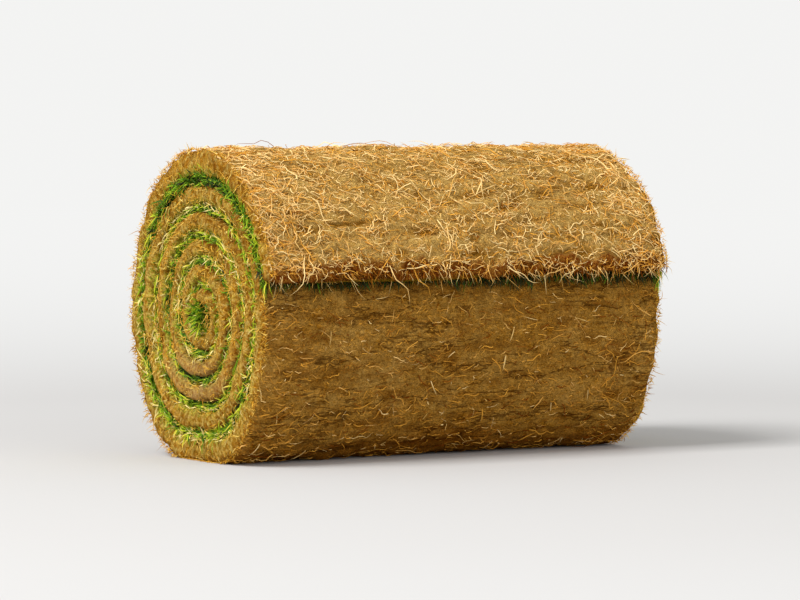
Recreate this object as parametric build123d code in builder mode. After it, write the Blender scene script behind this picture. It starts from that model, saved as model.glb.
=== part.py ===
from build123d import *
import os
from math import cos, degrees, radians

# A roll of cultivated turf, lying on its side, in millimetres.
# One strip of turf, soil and roots outside and grass inside, is wound up from its inner end.
# X runs along the roll, the strip's free end hangs down the front at -Y, and +Z is up.
# The origin is at the middle of the roll's footprint, on the surface that it lies on.

# The strip
strip_width = 400
soil_thickness = 14
grass_thickness = 7

# The winding, in whole turns from the inner end to the front of the body under the free end
turn_count = 5
core_reach = 5.5
eye_radius = 9

# How the soft roll has settled: taller than wide, and pressed flat where it lies.
# A higher power leaves the settling to the outer turns.
upright_stretch = 0.11
stretch_power = 4
contact_width = 56
flat_power = 2

# The free end, which stops above the front of the roll
flap_edge_angle = 15
flap_soil_thickness = 10
flap_gap = 7.5
flap_mouth_depth = 16
flap_edge_bulge = 3

# At both ends the flattened grass stands back from the cut edges of the soil
groove_depth = 9

# Quarter turns are counted outwards from the inner end, which lies in front of the eye.
# Even ones start at the front or the back of the roll, odd ones at the bottom or the top.
front_quarter = 4 * turn_count
inner_top_quarter = front_quarter - 1
bottom_quarter = front_quarter + 1
back_quarter = front_quarter + 2
top_quarter = front_quarter + 3


def round_reach(quarter):
    """Distance from the eye to the soil's outer face, before the roll settles."""
    return core_reach + (soil_thickness + grass_thickness) * quarter / 4


def reach(quarter):
    """Distance from the eye to the soil's outer face, in the settled roll."""
    share = round_reach(quarter) / round_reach(top_quarter)
    stretch = upright_stretch * share**stretch_power if quarter % 2 else 0
    return round_reach(quarter) * (1 + stretch)


def flat_width(quarter):
    """Width of the flat stretch that the roll's weight presses into the bottom of a turn."""
    return contact_width * (round_reach(quarter) / round_reach(bottom_quarter)) ** flat_power


def quarter_turn(quarter, outward=0):
    """Draws one quarter turn of a face that lies so far outside the soil's outer face.

    It is a quarter ellipse about the eye, from one crossing of the axes to the next. The two that
    meet at the bottom stand apart, with the flat stretch between them.
    """
    side_reach = reach(quarter + quarter % 2) + outward
    upright_reach = reach(quarter + 1 - quarter % 2) + outward
    start_angle = 180 + 90 * (quarter % 4)
    centre = 0
    if quarter % 4 == 0:
        centre = -flat_width(quarter + 1) / 2
        Line((centre, -upright_reach), (-centre, -upright_reach))
    elif quarter % 4 == 1:
        centre = flat_width(quarter) / 2
    EllipticalCenterArc((centre, 0), side_reach - abs(centre), upright_reach, start_angle)


# The free end's inner face stands a gap away from the body's front, and ends in an open mouth
flap_inner_reach = reach(front_quarter) + flap_gap
flap_outer_reach = flap_inner_reach + flap_soil_thickness
flap_sweep = 90 - flap_edge_angle
mouth_sweep = degrees(flap_mouth_depth / flap_inner_reach)
band_sweep = flap_sweep - mouth_sweep
band_top_reach = reach(inner_top_quarter) + grass_thickness

# The footprint reaches from the free end's tip to the back, so the eye stands a little off its middle
flap_front = flap_outer_reach * cos(radians(flap_edge_angle))
eye_offset = (flap_front - reach(back_quarter)) / 2
eye_height = reach(bottom_quarter)
section_plane = Plane(origin=(0, eye_offset, eye_height), x_dir=(0, 1, 0), z_dir=(1, 0, 0))

with BuildPart() as turf_roll:
    # The section of the whole wound strip, with its free end and the mouth under it
    with BuildSketch(section_plane):
        with BuildLine():
            for quarter in range(front_quarter, top_quarter):
                quarter_turn(quarter)
            flap_outside = EllipticalCenterArc(
                (0, 0), flap_outer_reach, reach(top_quarter), 90, arc_size=flap_sweep
            )
            flap_inside = EllipticalCenterArc(
                (0, 0), flap_inner_reach, band_top_reach, 90 + band_sweep, arc_size=mouth_sweep
            )
            SagittaArc(flap_outside @ 1, flap_inside @ 1, flap_edge_bulge)
            body_front = EllipticalCenterArc(
                (0, 0),
                reach(front_quarter),
                reach(inner_top_quarter),
                90 + band_sweep,
                arc_size=90 - band_sweep,
            )
            Line(flap_inside @ 0, body_front @ 0)
        make_face()
    extrude(amount=strip_width / 2, both=True)

    # The groove that the grass leaves between the turns and in the eye, cut into both ends
    for side in (-1, 1):
        with BuildSketch(section_plane.offset(side * strip_width / 2)):
            with BuildLine():
                for quarter in range(inner_top_quarter):
                    quarter_turn(quarter)
                    quarter_turn(quarter, grass_thickness)
                band_inside = EllipticalCenterArc(
                    (0, 0), reach(front_quarter), reach(inner_top_quarter), 90, arc_size=band_sweep
                )
                band_outside = EllipticalCenterArc(
                    (0, 0), flap_inner_reach, band_top_reach, 90, arc_size=band_sweep
                )
                Line(band_inside @ 1, band_outside @ 1)
                Line((-reach(0), 0), (-reach(0) - grass_thickness, 0))
            make_face()
            Circle(eye_radius)
        extrude(amount=-side * groove_depth, mode=Mode.SUBTRACT)

turf_roll.part.label = "turf_roll"
os.makedirs("parts", exist_ok=True)
export_step(turf_roll.part, "parts/turf_roll.step")
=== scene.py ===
"""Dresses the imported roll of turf: root mat, cut soil edges, pressed grass, blades, roots and straw.

The roll is one wound strip. Every piece here is worked out from the same winding as the solid's:
quarter ellipses round the eye, a flat under each turn, and a free end that hangs down the front.
Lengths are in metres, X runs along the roll, and the free end is at -Y.
"""

from __future__ import annotations

import logging
from collections.abc import Callable
from dataclasses import dataclass, field, replace
from enum import Enum
from functools import reduce

import bpy
import numpy as np
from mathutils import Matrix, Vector


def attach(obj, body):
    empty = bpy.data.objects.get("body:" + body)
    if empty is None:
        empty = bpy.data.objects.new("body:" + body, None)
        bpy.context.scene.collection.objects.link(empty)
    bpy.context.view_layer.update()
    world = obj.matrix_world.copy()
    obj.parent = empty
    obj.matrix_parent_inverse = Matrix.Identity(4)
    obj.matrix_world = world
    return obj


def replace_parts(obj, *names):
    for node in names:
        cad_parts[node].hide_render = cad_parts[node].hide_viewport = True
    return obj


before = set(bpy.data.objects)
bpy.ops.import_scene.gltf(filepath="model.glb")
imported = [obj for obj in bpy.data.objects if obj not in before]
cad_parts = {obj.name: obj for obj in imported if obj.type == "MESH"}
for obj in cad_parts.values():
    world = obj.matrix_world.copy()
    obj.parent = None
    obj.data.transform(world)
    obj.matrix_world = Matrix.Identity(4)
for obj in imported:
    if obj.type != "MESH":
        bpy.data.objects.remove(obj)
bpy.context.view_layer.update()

log = logging.getLogger("turf_roll")

Array = np.ndarray
Chance = np.random.Generator
Colour = tuple[float, float, float]
Place = tuple[float, float, float]
Range = tuple[float, float]
Socket = bpy.types.NodeSocket
Feeds = dict[str | int, object]

MM = 0.001
SOLID = "turf_roll"
SEED = 4217
ALONG_ROLL = np.array([1.0, 0.0, 0.0])
UP = np.array([0.0, 0.0, 1.0])
WHITE = (1.0, 1.0, 1.0)


class End(Enum):
    """The two ends of the roll: the near one at -X and the far one at +X."""

    NEAR = -1
    FAR = 1

    @property
    def outward(self) -> Array:
        """The direction out of the roll at this end."""
        return self.value * ALONG_ROLL


# Small helpers on whole arrays


def unit(vectors: Array) -> Array:
    """Vectors divided by their lengths, which the last axis' components give."""
    length = np.linalg.norm(vectors, axis=-1, keepdims=True)
    return vectors / np.maximum(length, 1e-12)


def ramp(values: Array, low: float, high: float) -> Array:
    """Rises smoothly from 0 at low to 1 at high: three squares less two cubes of the share between."""
    share = np.clip((values - low) / (high - low), 0.0, 1.0)
    return share * share * (3.0 - 2.0 * share)


def blend(low: Array | float, high: Array | float, share: Array) -> Array:
    """Goes straight from low to high as the share goes from 0 to 1."""
    return low + (high - low) * share


def spline_weights(count: int, cells: float) -> Array:
    """Weights that carry a coarse row of random values to a fine one by a quadratic B-spline.

    Args:
        count: number of fine samples.
        cells: number of coarse cells along them.

    Returns:
        One row for each fine sample, one column for each coarse value, rows adding up to 1.
    """
    knots = int(np.ceil(cells)) + 3
    place = np.linspace(1.0, 1.0 + cells, count)[:, None]
    distance = np.abs(place - np.arange(knots)[None, :])
    inner = 0.75 - distance**2
    outer = 0.5 * (1.5 - distance) ** 2
    weights = np.where(distance < 0.5, inner, np.where(distance < 1.5, outer, 0.0))
    return weights / weights.sum(axis=1, keepdims=True)


def relief(rng: Chance, shape: tuple[int, int], cells: tuple[float, float]) -> Array:
    """A smooth random height field: coarse noise carried to the fine grid by two B-splines.

    Args:
        rng: source of the coarse values.
        shape: rows and columns of the fine grid.
        cells: coarse cells along the rows and along the columns.

    Returns:
        Heights with a mean near 0 and a spread of 1.
    """
    rows = spline_weights(shape[0], cells[0])
    columns = spline_weights(shape[1], cells[1])
    coarse = rng.normal(size=(rows.shape[1], columns.shape[1]))
    fine = rows @ coarse @ columns.T
    return fine / max(float(fine.std()), 1e-9)


@dataclass(frozen=True)
class Bumps:
    """One size of unevenness over the strip.

    Args:
        height: the spread of its heights.
        along: size of a bump along the strip.
        across: size of a bump across it, in the width's unit.
    """

    height: float
    along: float
    across: float

    def over(self, rng: Chance, shape: tuple[int, int], length: float, width: float) -> Array:
        """Heights on a grid: this height times a relief with length and width over a bump's."""
        return self.height * relief(rng, shape, (length / self.along, width / self.across))


def uneven(
    rng: Chance,
    shape: tuple[int, int],
    bumps: tuple[Bumps, ...],
    length: float,
    width: float = 1.0,
    mean: float = 0.0,
) -> Array:
    """Adds unevenness of several sizes to a mean: rows over the length, columns over the width."""
    return sum((size.over(rng, shape, length, width) for size in bumps), mean)


def either_way(rng: Chance, count: int) -> Array:
    """Signs, plus or minus 1 with the same chance."""
    return np.where(rng.uniform(size=count) < 0.5, -1.0, 1.0)


# Meshes


def linked(name: str, data: bpy.types.ID) -> bpy.types.Object:
    """Makes an object at the origin from its data and links it to the scene.

    Args:
        name: the object's name.
        data: its mesh, light or camera.

    Returns:
        The object.
    """
    made = bpy.data.objects.new(name, data)
    bpy.context.scene.collection.objects.link(made)
    return made


@dataclass
class Shape:
    """Triangles with what their vertices carry for the finishes.

    Args:
        points: vertex places, one row each.
        triangles: vertex numbers, three a row, in the order that faces outwards.
        layers: a value for each vertex under each attribute name.
        chart: where each vertex lies on the unrolled surface, in metres.
    """

    points: Array
    triangles: Array
    layers: dict[str, Array] = field(default_factory=dict)
    chart: Array | None = None

    @staticmethod
    def joined(shapes: list[Shape]) -> Shape:
        """Puts several shapes with the same layers into one.

        Args:
            shapes: the shapes, all with a chart or all without.

        Returns:
            One shape, whose triangles count on from shape to shape.
        """
        starts = np.cumsum([0] + [len(shape.points) for shape in shapes[:-1]])
        charted = shapes[0].chart is not None
        return Shape(
            points=np.concatenate([shape.points for shape in shapes]),
            triangles=np.concatenate([shape.triangles + start for shape, start in zip(shapes, starts)]),
            layers={
                name: np.concatenate([shape.layers[name] for shape in shapes]) for name in shapes[0].layers
            },
            chart=np.concatenate([shape.chart for shape in shapes]) if charted else None,
        )

    def facing_out(self) -> Shape:
        """Turns the triangles round if the volume that they enclose comes out negative.

        The volume is a sixth of the sum of the corners' triple products.

        Returns:
            This shape.
        """
        a, b, c = (self.points[self.triangles[:, corner]] for corner in range(3))
        if np.einsum("ij,ij->i", a, np.cross(b, c)).sum() < 0:
            self.triangles = self.triangles[:, ::-1]
        return self

    def piece(self, name: str, finish: bpy.types.Material, smooth: bool) -> bpy.types.Object:
        """Makes the Blender object of this shape, riding with the roll.

        Args:
            name: the object's name.
            finish: its material.
            smooth: whether the facets are shaded as one smooth surface.

        Returns:
            The linked object.
        """
        mesh = bpy.data.meshes.new(name)
        mesh.vertices.add(len(self.points))
        mesh.vertices.foreach_set("co", self.points.astype(np.float32).ravel())
        mesh.loops.add(self.triangles.size)
        corners = self.triangles.astype(np.int32).ravel()
        mesh.loops.foreach_set("vertex_index", corners)
        mesh.polygons.add(len(self.triangles))
        mesh.polygons.foreach_set("loop_start", np.arange(0, corners.size, 3, dtype=np.int32))
        mesh.update(calc_edges=True)
        mesh.polygons.foreach_set("use_smooth", np.full(len(self.triangles), smooth))
        for layer, values in self.layers.items():
            attribute = mesh.attributes.new(layer, "FLOAT", "POINT")
            attribute.data.foreach_set("value", values.astype(np.float32).ravel())
        if self.chart is not None:
            sheet = mesh.uv_layers.new(name="Chart")
            sheet.data.foreach_set("uv", self.chart[corners].astype(np.float32).ravel())
        mesh.materials.append(finish)
        made = linked(name, mesh)
        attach(made, "root")
        log.info("%s: %d triangles", name, len(self.triangles))
        return made


def woven(points: Array, across_closed: bool) -> Array:
    """Triangles between the rows and columns of a grid of points.

    Args:
        points: the grid, rows by columns by 3.
        across_closed: whether the last column joins the first.

    Returns:
        Vertex numbers, two triangles for each cell.
    """
    rows, columns = points.shape[:2]
    number = np.arange(rows * columns).reshape(rows, columns)
    right = np.roll(number, -1, axis=1) if across_closed else number[:, 1:]
    here = number if across_closed else number[:, :-1]
    a, b, c, d = here[:-1], right[:-1], right[1:], here[1:]
    first = np.stack([a, b, c], axis=-1).reshape(-1, 3)
    second = np.stack([a, c, d], axis=-1).reshape(-1, 3)
    return np.concatenate([first, second])


def lifted(points: Array, heights: Array) -> Array:
    """Moves every point of a closed tube grid out along its own normal.

    The normal is the cross product of the steps along the columns and along the rows.

    Args:
        points: the grid, rows by columns by 3, its columns running round a closed section.
        heights: how far each point moves.

    Returns:
        The moved grid.
    """
    across = np.roll(points, -1, axis=1) - np.roll(points, 1, axis=1)
    along = np.gradient(points, axis=0)
    normals = unit(np.cross(across, along))
    middle = points.mean(axis=1, keepdims=True)
    if np.einsum("ijk,ijk->ij", normals, points - middle).mean() < 0:
        normals = -normals
    return points + normals * heights[..., None]


def with_centres(grid: Array) -> Array:
    """A grid's values one after another, then the means of its first and of its last row."""
    return np.concatenate([grid.reshape(-1, *grid.shape[2:]), grid[[0, -1]].mean(axis=1)])


def tube(points: Array, layers: dict[str, Array], chart: Array) -> Shape:
    """A closed tube: a grid whose columns run round a section, with a fan at each end.

    Args:
        points: the grid, rows by columns by 3.
        layers: the attributes, rows by columns each.
        chart: the unrolled places, rows by columns by 2.

    Returns:
        The closed shape.
    """
    rows, columns = points.shape[:2]
    rim = np.arange(columns)
    beside = np.roll(rim, -1)
    last_row = (rows - 1) * columns
    first_centre, last_centre = np.full(columns, rows * columns), np.full(columns, rows * columns + 1)
    bottom = np.stack([beside, rim, first_centre], axis=-1)
    top = np.stack([rim + last_row, beside + last_row, last_centre], axis=-1)
    return Shape(
        points=with_centres(points),
        triangles=np.concatenate([woven(points, True), bottom, top]),
        layers={name: with_centres(values) for name, values in layers.items()},
        chart=with_centres(chart),
    ).facing_out()


# The winding


@dataclass(frozen=True)
class Winding:
    """The strip's path round the eye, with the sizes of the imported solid.

    Places along it are counted in stages: a whole turn is four quarter ellipses, a stage each,
    and the flat stretch between the lower two, which counts as a quarter of a stage. A turn
    starts at the front, and runs under the roll, up the back and over the top.

    Args:
        core_reach: distance from the eye to the soil where the winding starts.
        upright_stretch: how much taller than round the outermost turn stands.
        stretch_power: how fast that falls off inwards.
        flat_power: how fast the flats under the turns grow narrower inwards.
        flap_edge_angle: how far above the level of the eye the free end stops, in degrees.
        flap_gap: depth of the mouth under it.
    """

    strip_width: float = 400 * MM
    soil_thickness: float = 14 * MM
    grass_thickness: float = 7 * MM
    turn_count: int = 5
    core_reach: float = 5.5 * MM
    eye_radius: float = 9 * MM
    upright_stretch: float = 0.11
    stretch_power: float = 4.0
    contact_width: float = 56 * MM
    flat_power: float = 2.0
    flap_edge_angle: float = 15.0
    flap_soil_thickness: float = 10 * MM
    flap_gap: float = 7.5 * MM
    flat_stage: float = 0.25

    @property
    def half_width(self) -> float:
        """Half the strip's width, which is how far from the middle the roll's ends lie."""
        return self.strip_width / 2.0

    @property
    def turn_stages(self) -> float:
        """Stages in a whole turn."""
        return 4.0 + self.flat_stage

    @property
    def front_stage(self) -> float:
        """Where the outermost turn starts, at the front of the body."""
        return self.turn_count * self.turn_stages

    @property
    def flap_edge_stage(self) -> float:
        """Where the strip's free end stops."""
        return self.front_stage + self.turn_stages - self.flap_edge_angle / 90.0

    @property
    def body_start(self) -> float:
        """Where the roots and the straw on the outer face start, just behind the mouth."""
        return self.front_stage - 0.1

    @property
    def mouth_stage(self) -> float:
        """Where the strip comes out from under the free end."""
        return self.flap_edge_stage - self.turn_stages

    @property
    def flap_reach(self) -> float:
        """Reach of the free end's outer face, measured level with the eye."""
        return self.reach(4 * self.turn_count) + self.flap_gap + self.flap_soil_thickness

    @property
    def eye(self) -> Array:
        """The eye's place over the middle of the footprint: its offset along Y, and its height."""
        back, height = self.reach(4 * self.turn_count + np.array([2, 1]))
        return np.array([(self.flap_reach * np.cos(np.radians(self.flap_edge_angle)) - back) / 2.0, height])

    def round_reach(self, quarter: Array | int) -> Array:
        """Distance from the eye after so many quarter turns, before the roll settles."""
        return self.core_reach + (self.soil_thickness + self.grass_thickness) * quarter / 4.0

    def fallen_off(self, quarter: Array | int, outermost: int, power: float) -> Array:
        """A power of the round reach over that of one of the outermost turn's crossings."""
        return (self.round_reach(quarter) / self.round_reach(4 * self.turn_count + outermost)) ** power

    def reach(self, quarter: Array | int) -> Array:
        """Distance from the eye to the soil's outer face: the upright crossings are stretched."""
        stretch = self.upright_stretch * (quarter % 2) * self.fallen_off(quarter, 3, self.stretch_power)
        return self.round_reach(quarter) * (1.0 + stretch)

    def flat_width(self, quarter: Array) -> Array:
        """Width of the flat stretch under a turn."""
        return self.contact_width * self.fallen_off(quarter, 1, self.flat_power)

    def face(self, stage: Array, outward: Array | float = 0.0) -> Array:
        """Places on a face that runs round the eye, so far outside the soil's outer face.

        Each is the point of a quarter ellipse whose two reaches are those of the crossings that
        it joins: the centre's shift plus side reach times cosine, and upright reach times sine.

        Args:
            stage: places along the winding, in stages.
            outward: how far outside, a number or one for each place.

        Returns:
            Their Y and Z in the roll's section.
        """
        stage = np.maximum(np.asarray(stage, dtype=float), 0.0)
        turn = np.floor(stage / self.turn_stages).astype(int)
        local = stage - turn * self.turn_stages
        starts = np.array([0.0, 1.0, 1.0 + self.flat_stage, 2.0 + self.flat_stage, 3.0 + self.flat_stage])
        kind = np.clip(np.searchsorted(starts, local, side="right") - 1, 0, 4)
        share = local - starts[kind]
        share = np.where(kind == 1, share / self.flat_stage, share)
        half_flat = self.flat_width(4 * turn + 1) / 2.0
        centre = np.choose(kind, [-half_flat, half_flat * (2.0 * share - 1.0), half_flat, 0.0, 0.0])
        side = self.reach(4 * turn + np.array([0, 0, 2, 2, 4])[kind])
        side = np.where((turn == self.turn_count) & (kind == 4), self.flap_reach, side)
        upright = self.reach(4 * turn + np.array([1, 1, 1, 3, 3])[kind])
        quarters = np.choose(kind, [share, 1.0, 1.0 + share, 2.0 + share, 3.0 + share])
        angle = np.radians(180.0 + 90.0 * quarters)
        narrowed = side + outward - np.where(kind == 1, half_flat, np.abs(centre))
        y = centre + narrowed * np.cos(angle)
        z = (upright + outward) * np.sin(angle)
        return np.stack([y, z], axis=-1) + self.eye

    def inner_face(self, stage: Array) -> Array:
        """Places on the soil's inner face, which lies on the grass of the turn inside.

        In the first turn it is the outer face drawn in towards the eye by the soil's thickness, but
        no nearer to it than the edge of the tuft in the eye.

        Args:
            stage: places along the winding, in stages.

        Returns:
            Their Y and Z in the roll's section.
        """
        stage = np.asarray(stage, dtype=float)
        outer = self.face(stage) - self.eye
        distance = np.linalg.norm(outer, axis=-1, keepdims=True)
        kept = np.maximum(distance - self.soil_thickness, np.minimum(self.eye_radius, 0.85 * distance))
        first = outer * kept / distance + self.eye
        wound = self.face(stage - self.turn_stages, self.grass_thickness)
        share = ramp(stage, self.turn_stages, self.turn_stages + 0.6)[..., None]
        return blend(first, wound, share)

    def within(self, stage: Array, share: Array) -> Array:
        """Places in the strip's soil, a share of the way from its inner to its outer face."""
        return blend(self.inner_face(stage), self.face(stage), share[..., None])

    def round_eye(self, out: Array, angle: Array) -> Array:
        """Places in the section from their distance and direction from the eye."""
        return np.stack([out * np.cos(angle), out * np.sin(angle)], axis=-1) + self.eye

    def rising(self, stage: Array, low: float, high: float) -> Array:
        """Rises smoothly from 0 to 1 between two places counted from the front, in stages."""
        return ramp(stage, self.front_stage + low, self.front_stage + high)

    def evenly(self, start: float, stop: float, spacing: float) -> tuple[Array, Array]:
        """Stages between two places, evenly spaced along the strip.

        Args:
            start: the first stage.
            stop: the last stage.
            spacing: the distance between neighbours, in metres.

        Returns:
            The stages, and the distance along the strip at each.
        """
        dense = np.linspace(start, stop, 6000)
        steps = np.linalg.norm(np.diff(self.face(dense), axis=0), axis=-1)
        travelled = np.concatenate([[0.0], np.cumsum(steps)])
        wanted = np.linspace(0.0, travelled[-1], max(int(travelled[-1] / spacing), 2) + 1)
        return np.interp(wanted, travelled, dense), wanted

    def scattered(self, rng: Chance, start: float, stop: float, count: int) -> Array:
        """Random stages between two places, as dense everywhere along the strip."""
        table, travelled = self.evenly(start, stop, 1 * MM)
        return np.interp(rng.uniform(0.0, travelled[-1], count), travelled, table)

    def weighted(
        self, rng: Chance, start: float, stop: float, count: int, weigh: Callable[[Array], Array]
    ) -> Array:
        """Random stages between two places, denser where a weight is larger.

        Args:
            rng: source of the places.
            start: the first stage.
            stop: the last stage.
            count: how many there are.
            weigh: gives the weight at each stage.

        Returns:
            One stage each, found where the weight's running share passes a random number.
        """
        table, _ = self.evenly(start, stop, 1 * MM)
        weight = weigh(table)
        return np.interp(rng.uniform(0.0, 1.0, count), np.cumsum(weight) / weight.sum(), table)

    def directions(self, stage: Array) -> tuple[Array, Array]:
        """Directions along the strip, by the step between two near places, and out from it.

        Args:
            stage: places along the winding, in stages.

        Returns:
            Two unit vectors in space for each place.
        """
        stage, step = np.asarray(stage), 0.01
        along = self.face(stage + step) - self.face(np.maximum(stage - step, 0.0))
        along = unit(np.concatenate([np.zeros_like(along[..., :1]), along], axis=-1))
        outward = np.stack([np.zeros_like(along[..., 0]), along[..., 2], -along[..., 1]], axis=-1)
        return along, outward


def edge_profile(depth: float, thickness: float, points: int, power: float) -> tuple[Array, Array]:
    """The rounded profile of one cut edge of the strip, evenly spaced along its length.

    It is half a superellipse: the cosine goes across the strip and the sine into the roll, both
    raised to two over the power.

    Args:
        depth: how far the profile reaches into the roll.
        thickness: the strip's thickness, which sets the spacing only.
        points: number of points.
        power: 2 for a round edge, more for a squarer one.

    Returns:
        The share of the way from the inner to the outer face, and the inset from the end.
    """
    angle = np.linspace(0.0, np.pi, 600)
    cosine, sine = np.cos(angle), np.sin(angle)
    share = 0.5 - 0.5 * np.sign(cosine) * np.abs(cosine) ** (2.0 / power)
    inset = depth * (1.0 - np.abs(sine) ** (2.0 / power))
    steps = np.hypot(np.diff(share) * thickness, np.diff(inset))
    travelled = np.concatenate([[0.0], np.cumsum(steps)])
    wanted = np.linspace(0.0, travelled[-1], points)
    return np.interp(wanted, travelled, share), np.interp(wanted, travelled, inset)


def unrolled(across: Array, travelled: Array) -> Array:
    """The chart of a grid: the distance across for each column, and along for each row."""
    return np.stack(np.broadcast_arrays(across[None, :], travelled[:, None]), axis=-1)


def placed(x: Array | float, section: Array) -> Array:
    """Points in space from their X and their Y and Z in the roll's section."""
    x = np.broadcast_to(x, section.shape[:-1])
    return np.concatenate([x[..., None], section], axis=-1)


def above_floor(points: Array, clearance: float = 0.2 * MM) -> Array:
    """Keeps points off the floor that the roll lies on."""
    x, y, z = np.moveaxis(points, -1, 0)
    return np.stack([x, y, np.maximum(z, clearance)], axis=-1)


# The strip's own surfaces


@dataclass
class Ground:
    """How far the roughened outer face stands off the smooth winding, to seat roots and straw on it.

    Args:
        stages: place of each row along the winding.
        x: place of each column along the roll.
        heights: rows by columns.
    """

    stages: Array
    x: Array
    heights: Array

    def at(self, stage: Array, x: Array) -> Array:
        """Heights at any places, blended between the four nearest grid points.

        Args:
            stage: places along the winding.
            x: places along the roll.

        Returns:
            One height each.
        """
        rows, columns = self.heights.shape
        row = np.clip(np.interp(stage, self.stages, np.arange(rows)), 0, rows - 1.001)
        column = np.clip(np.interp(x, self.x, np.arange(columns)), 0, columns - 1.001)
        i, j = row.astype(int), column.astype(int)
        down, right = row - i, column - j
        near = blend(self.heights[i, j], self.heights[i, j + 1], right)
        far = blend(self.heights[i + 1, j], self.heights[i + 1, j + 1], right)
        return blend(near, far, down)


@dataclass(frozen=True)
class Cracks:
    """Bending cracks: wavering furrows along the roll, where the mat is stretched.

    Each is a bell curve across the strip about a line that swings with two sines of its place
    along the roll over the beat, the second half as far. It fades out at its two ends.

    Args:
        paces: how far each sine turns over a beat, in radians.
        width: half the width of the bell curve.
    """

    count: int = 150
    off_middle: float = 200 * MM
    half_length: float = 48 * MM
    half_lengths: Range = (10 * MM, 150 * MM)
    swings: Range = (0.6 * MM, 2.2 * MM)
    beats: Range = (25 * MM, 60 * MM)
    paces: Range = (6.3, 17.0)
    depths: Range = (0.3 * MM, 1.4 * MM)
    width: float = 1.3 * MM

    def sunk(self, rng: Chance, travelled: Array, x: Array) -> Array:
        """Depths of all cracks together.

        Args:
            rng: source of their places and sizes.
            travelled: distance of each row along the strip.
            x: each column's place along the roll.

        Returns:
            Depths, rows by columns.
        """
        place = rng.uniform(0.0, travelled[-1], self.count)[:, None]
        middle = rng.uniform(-self.off_middle, self.off_middle, self.count)[:, None]
        half_length = rng.gamma(2.0, self.half_length / 2.0, self.count).clip(*self.half_lengths)[:, None]
        swing = rng.uniform(*self.swings, self.count)[:, None]
        beat = rng.uniform(*self.beats, self.count)[:, None]
        phase = rng.uniform(0.0, self.paces[0], self.count)[:, None]
        depth = rng.uniform(*self.depths, self.count)[:, None]
        beaten = x[None, :] / beat
        line = place + swing * (
            np.sin(beaten * self.paces[0] + phase) + 0.5 * np.sin(beaten * self.paces[1])
        )
        fade = 1.0 - ramp(np.abs(x[None, :] - middle) / half_length, 0.6, 1.0)
        off = (travelled[None, :, None] - line[:, None, :]) / self.width
        return np.einsum("crk,ck->rk", np.exp(-(off**2)), depth * fade)


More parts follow.
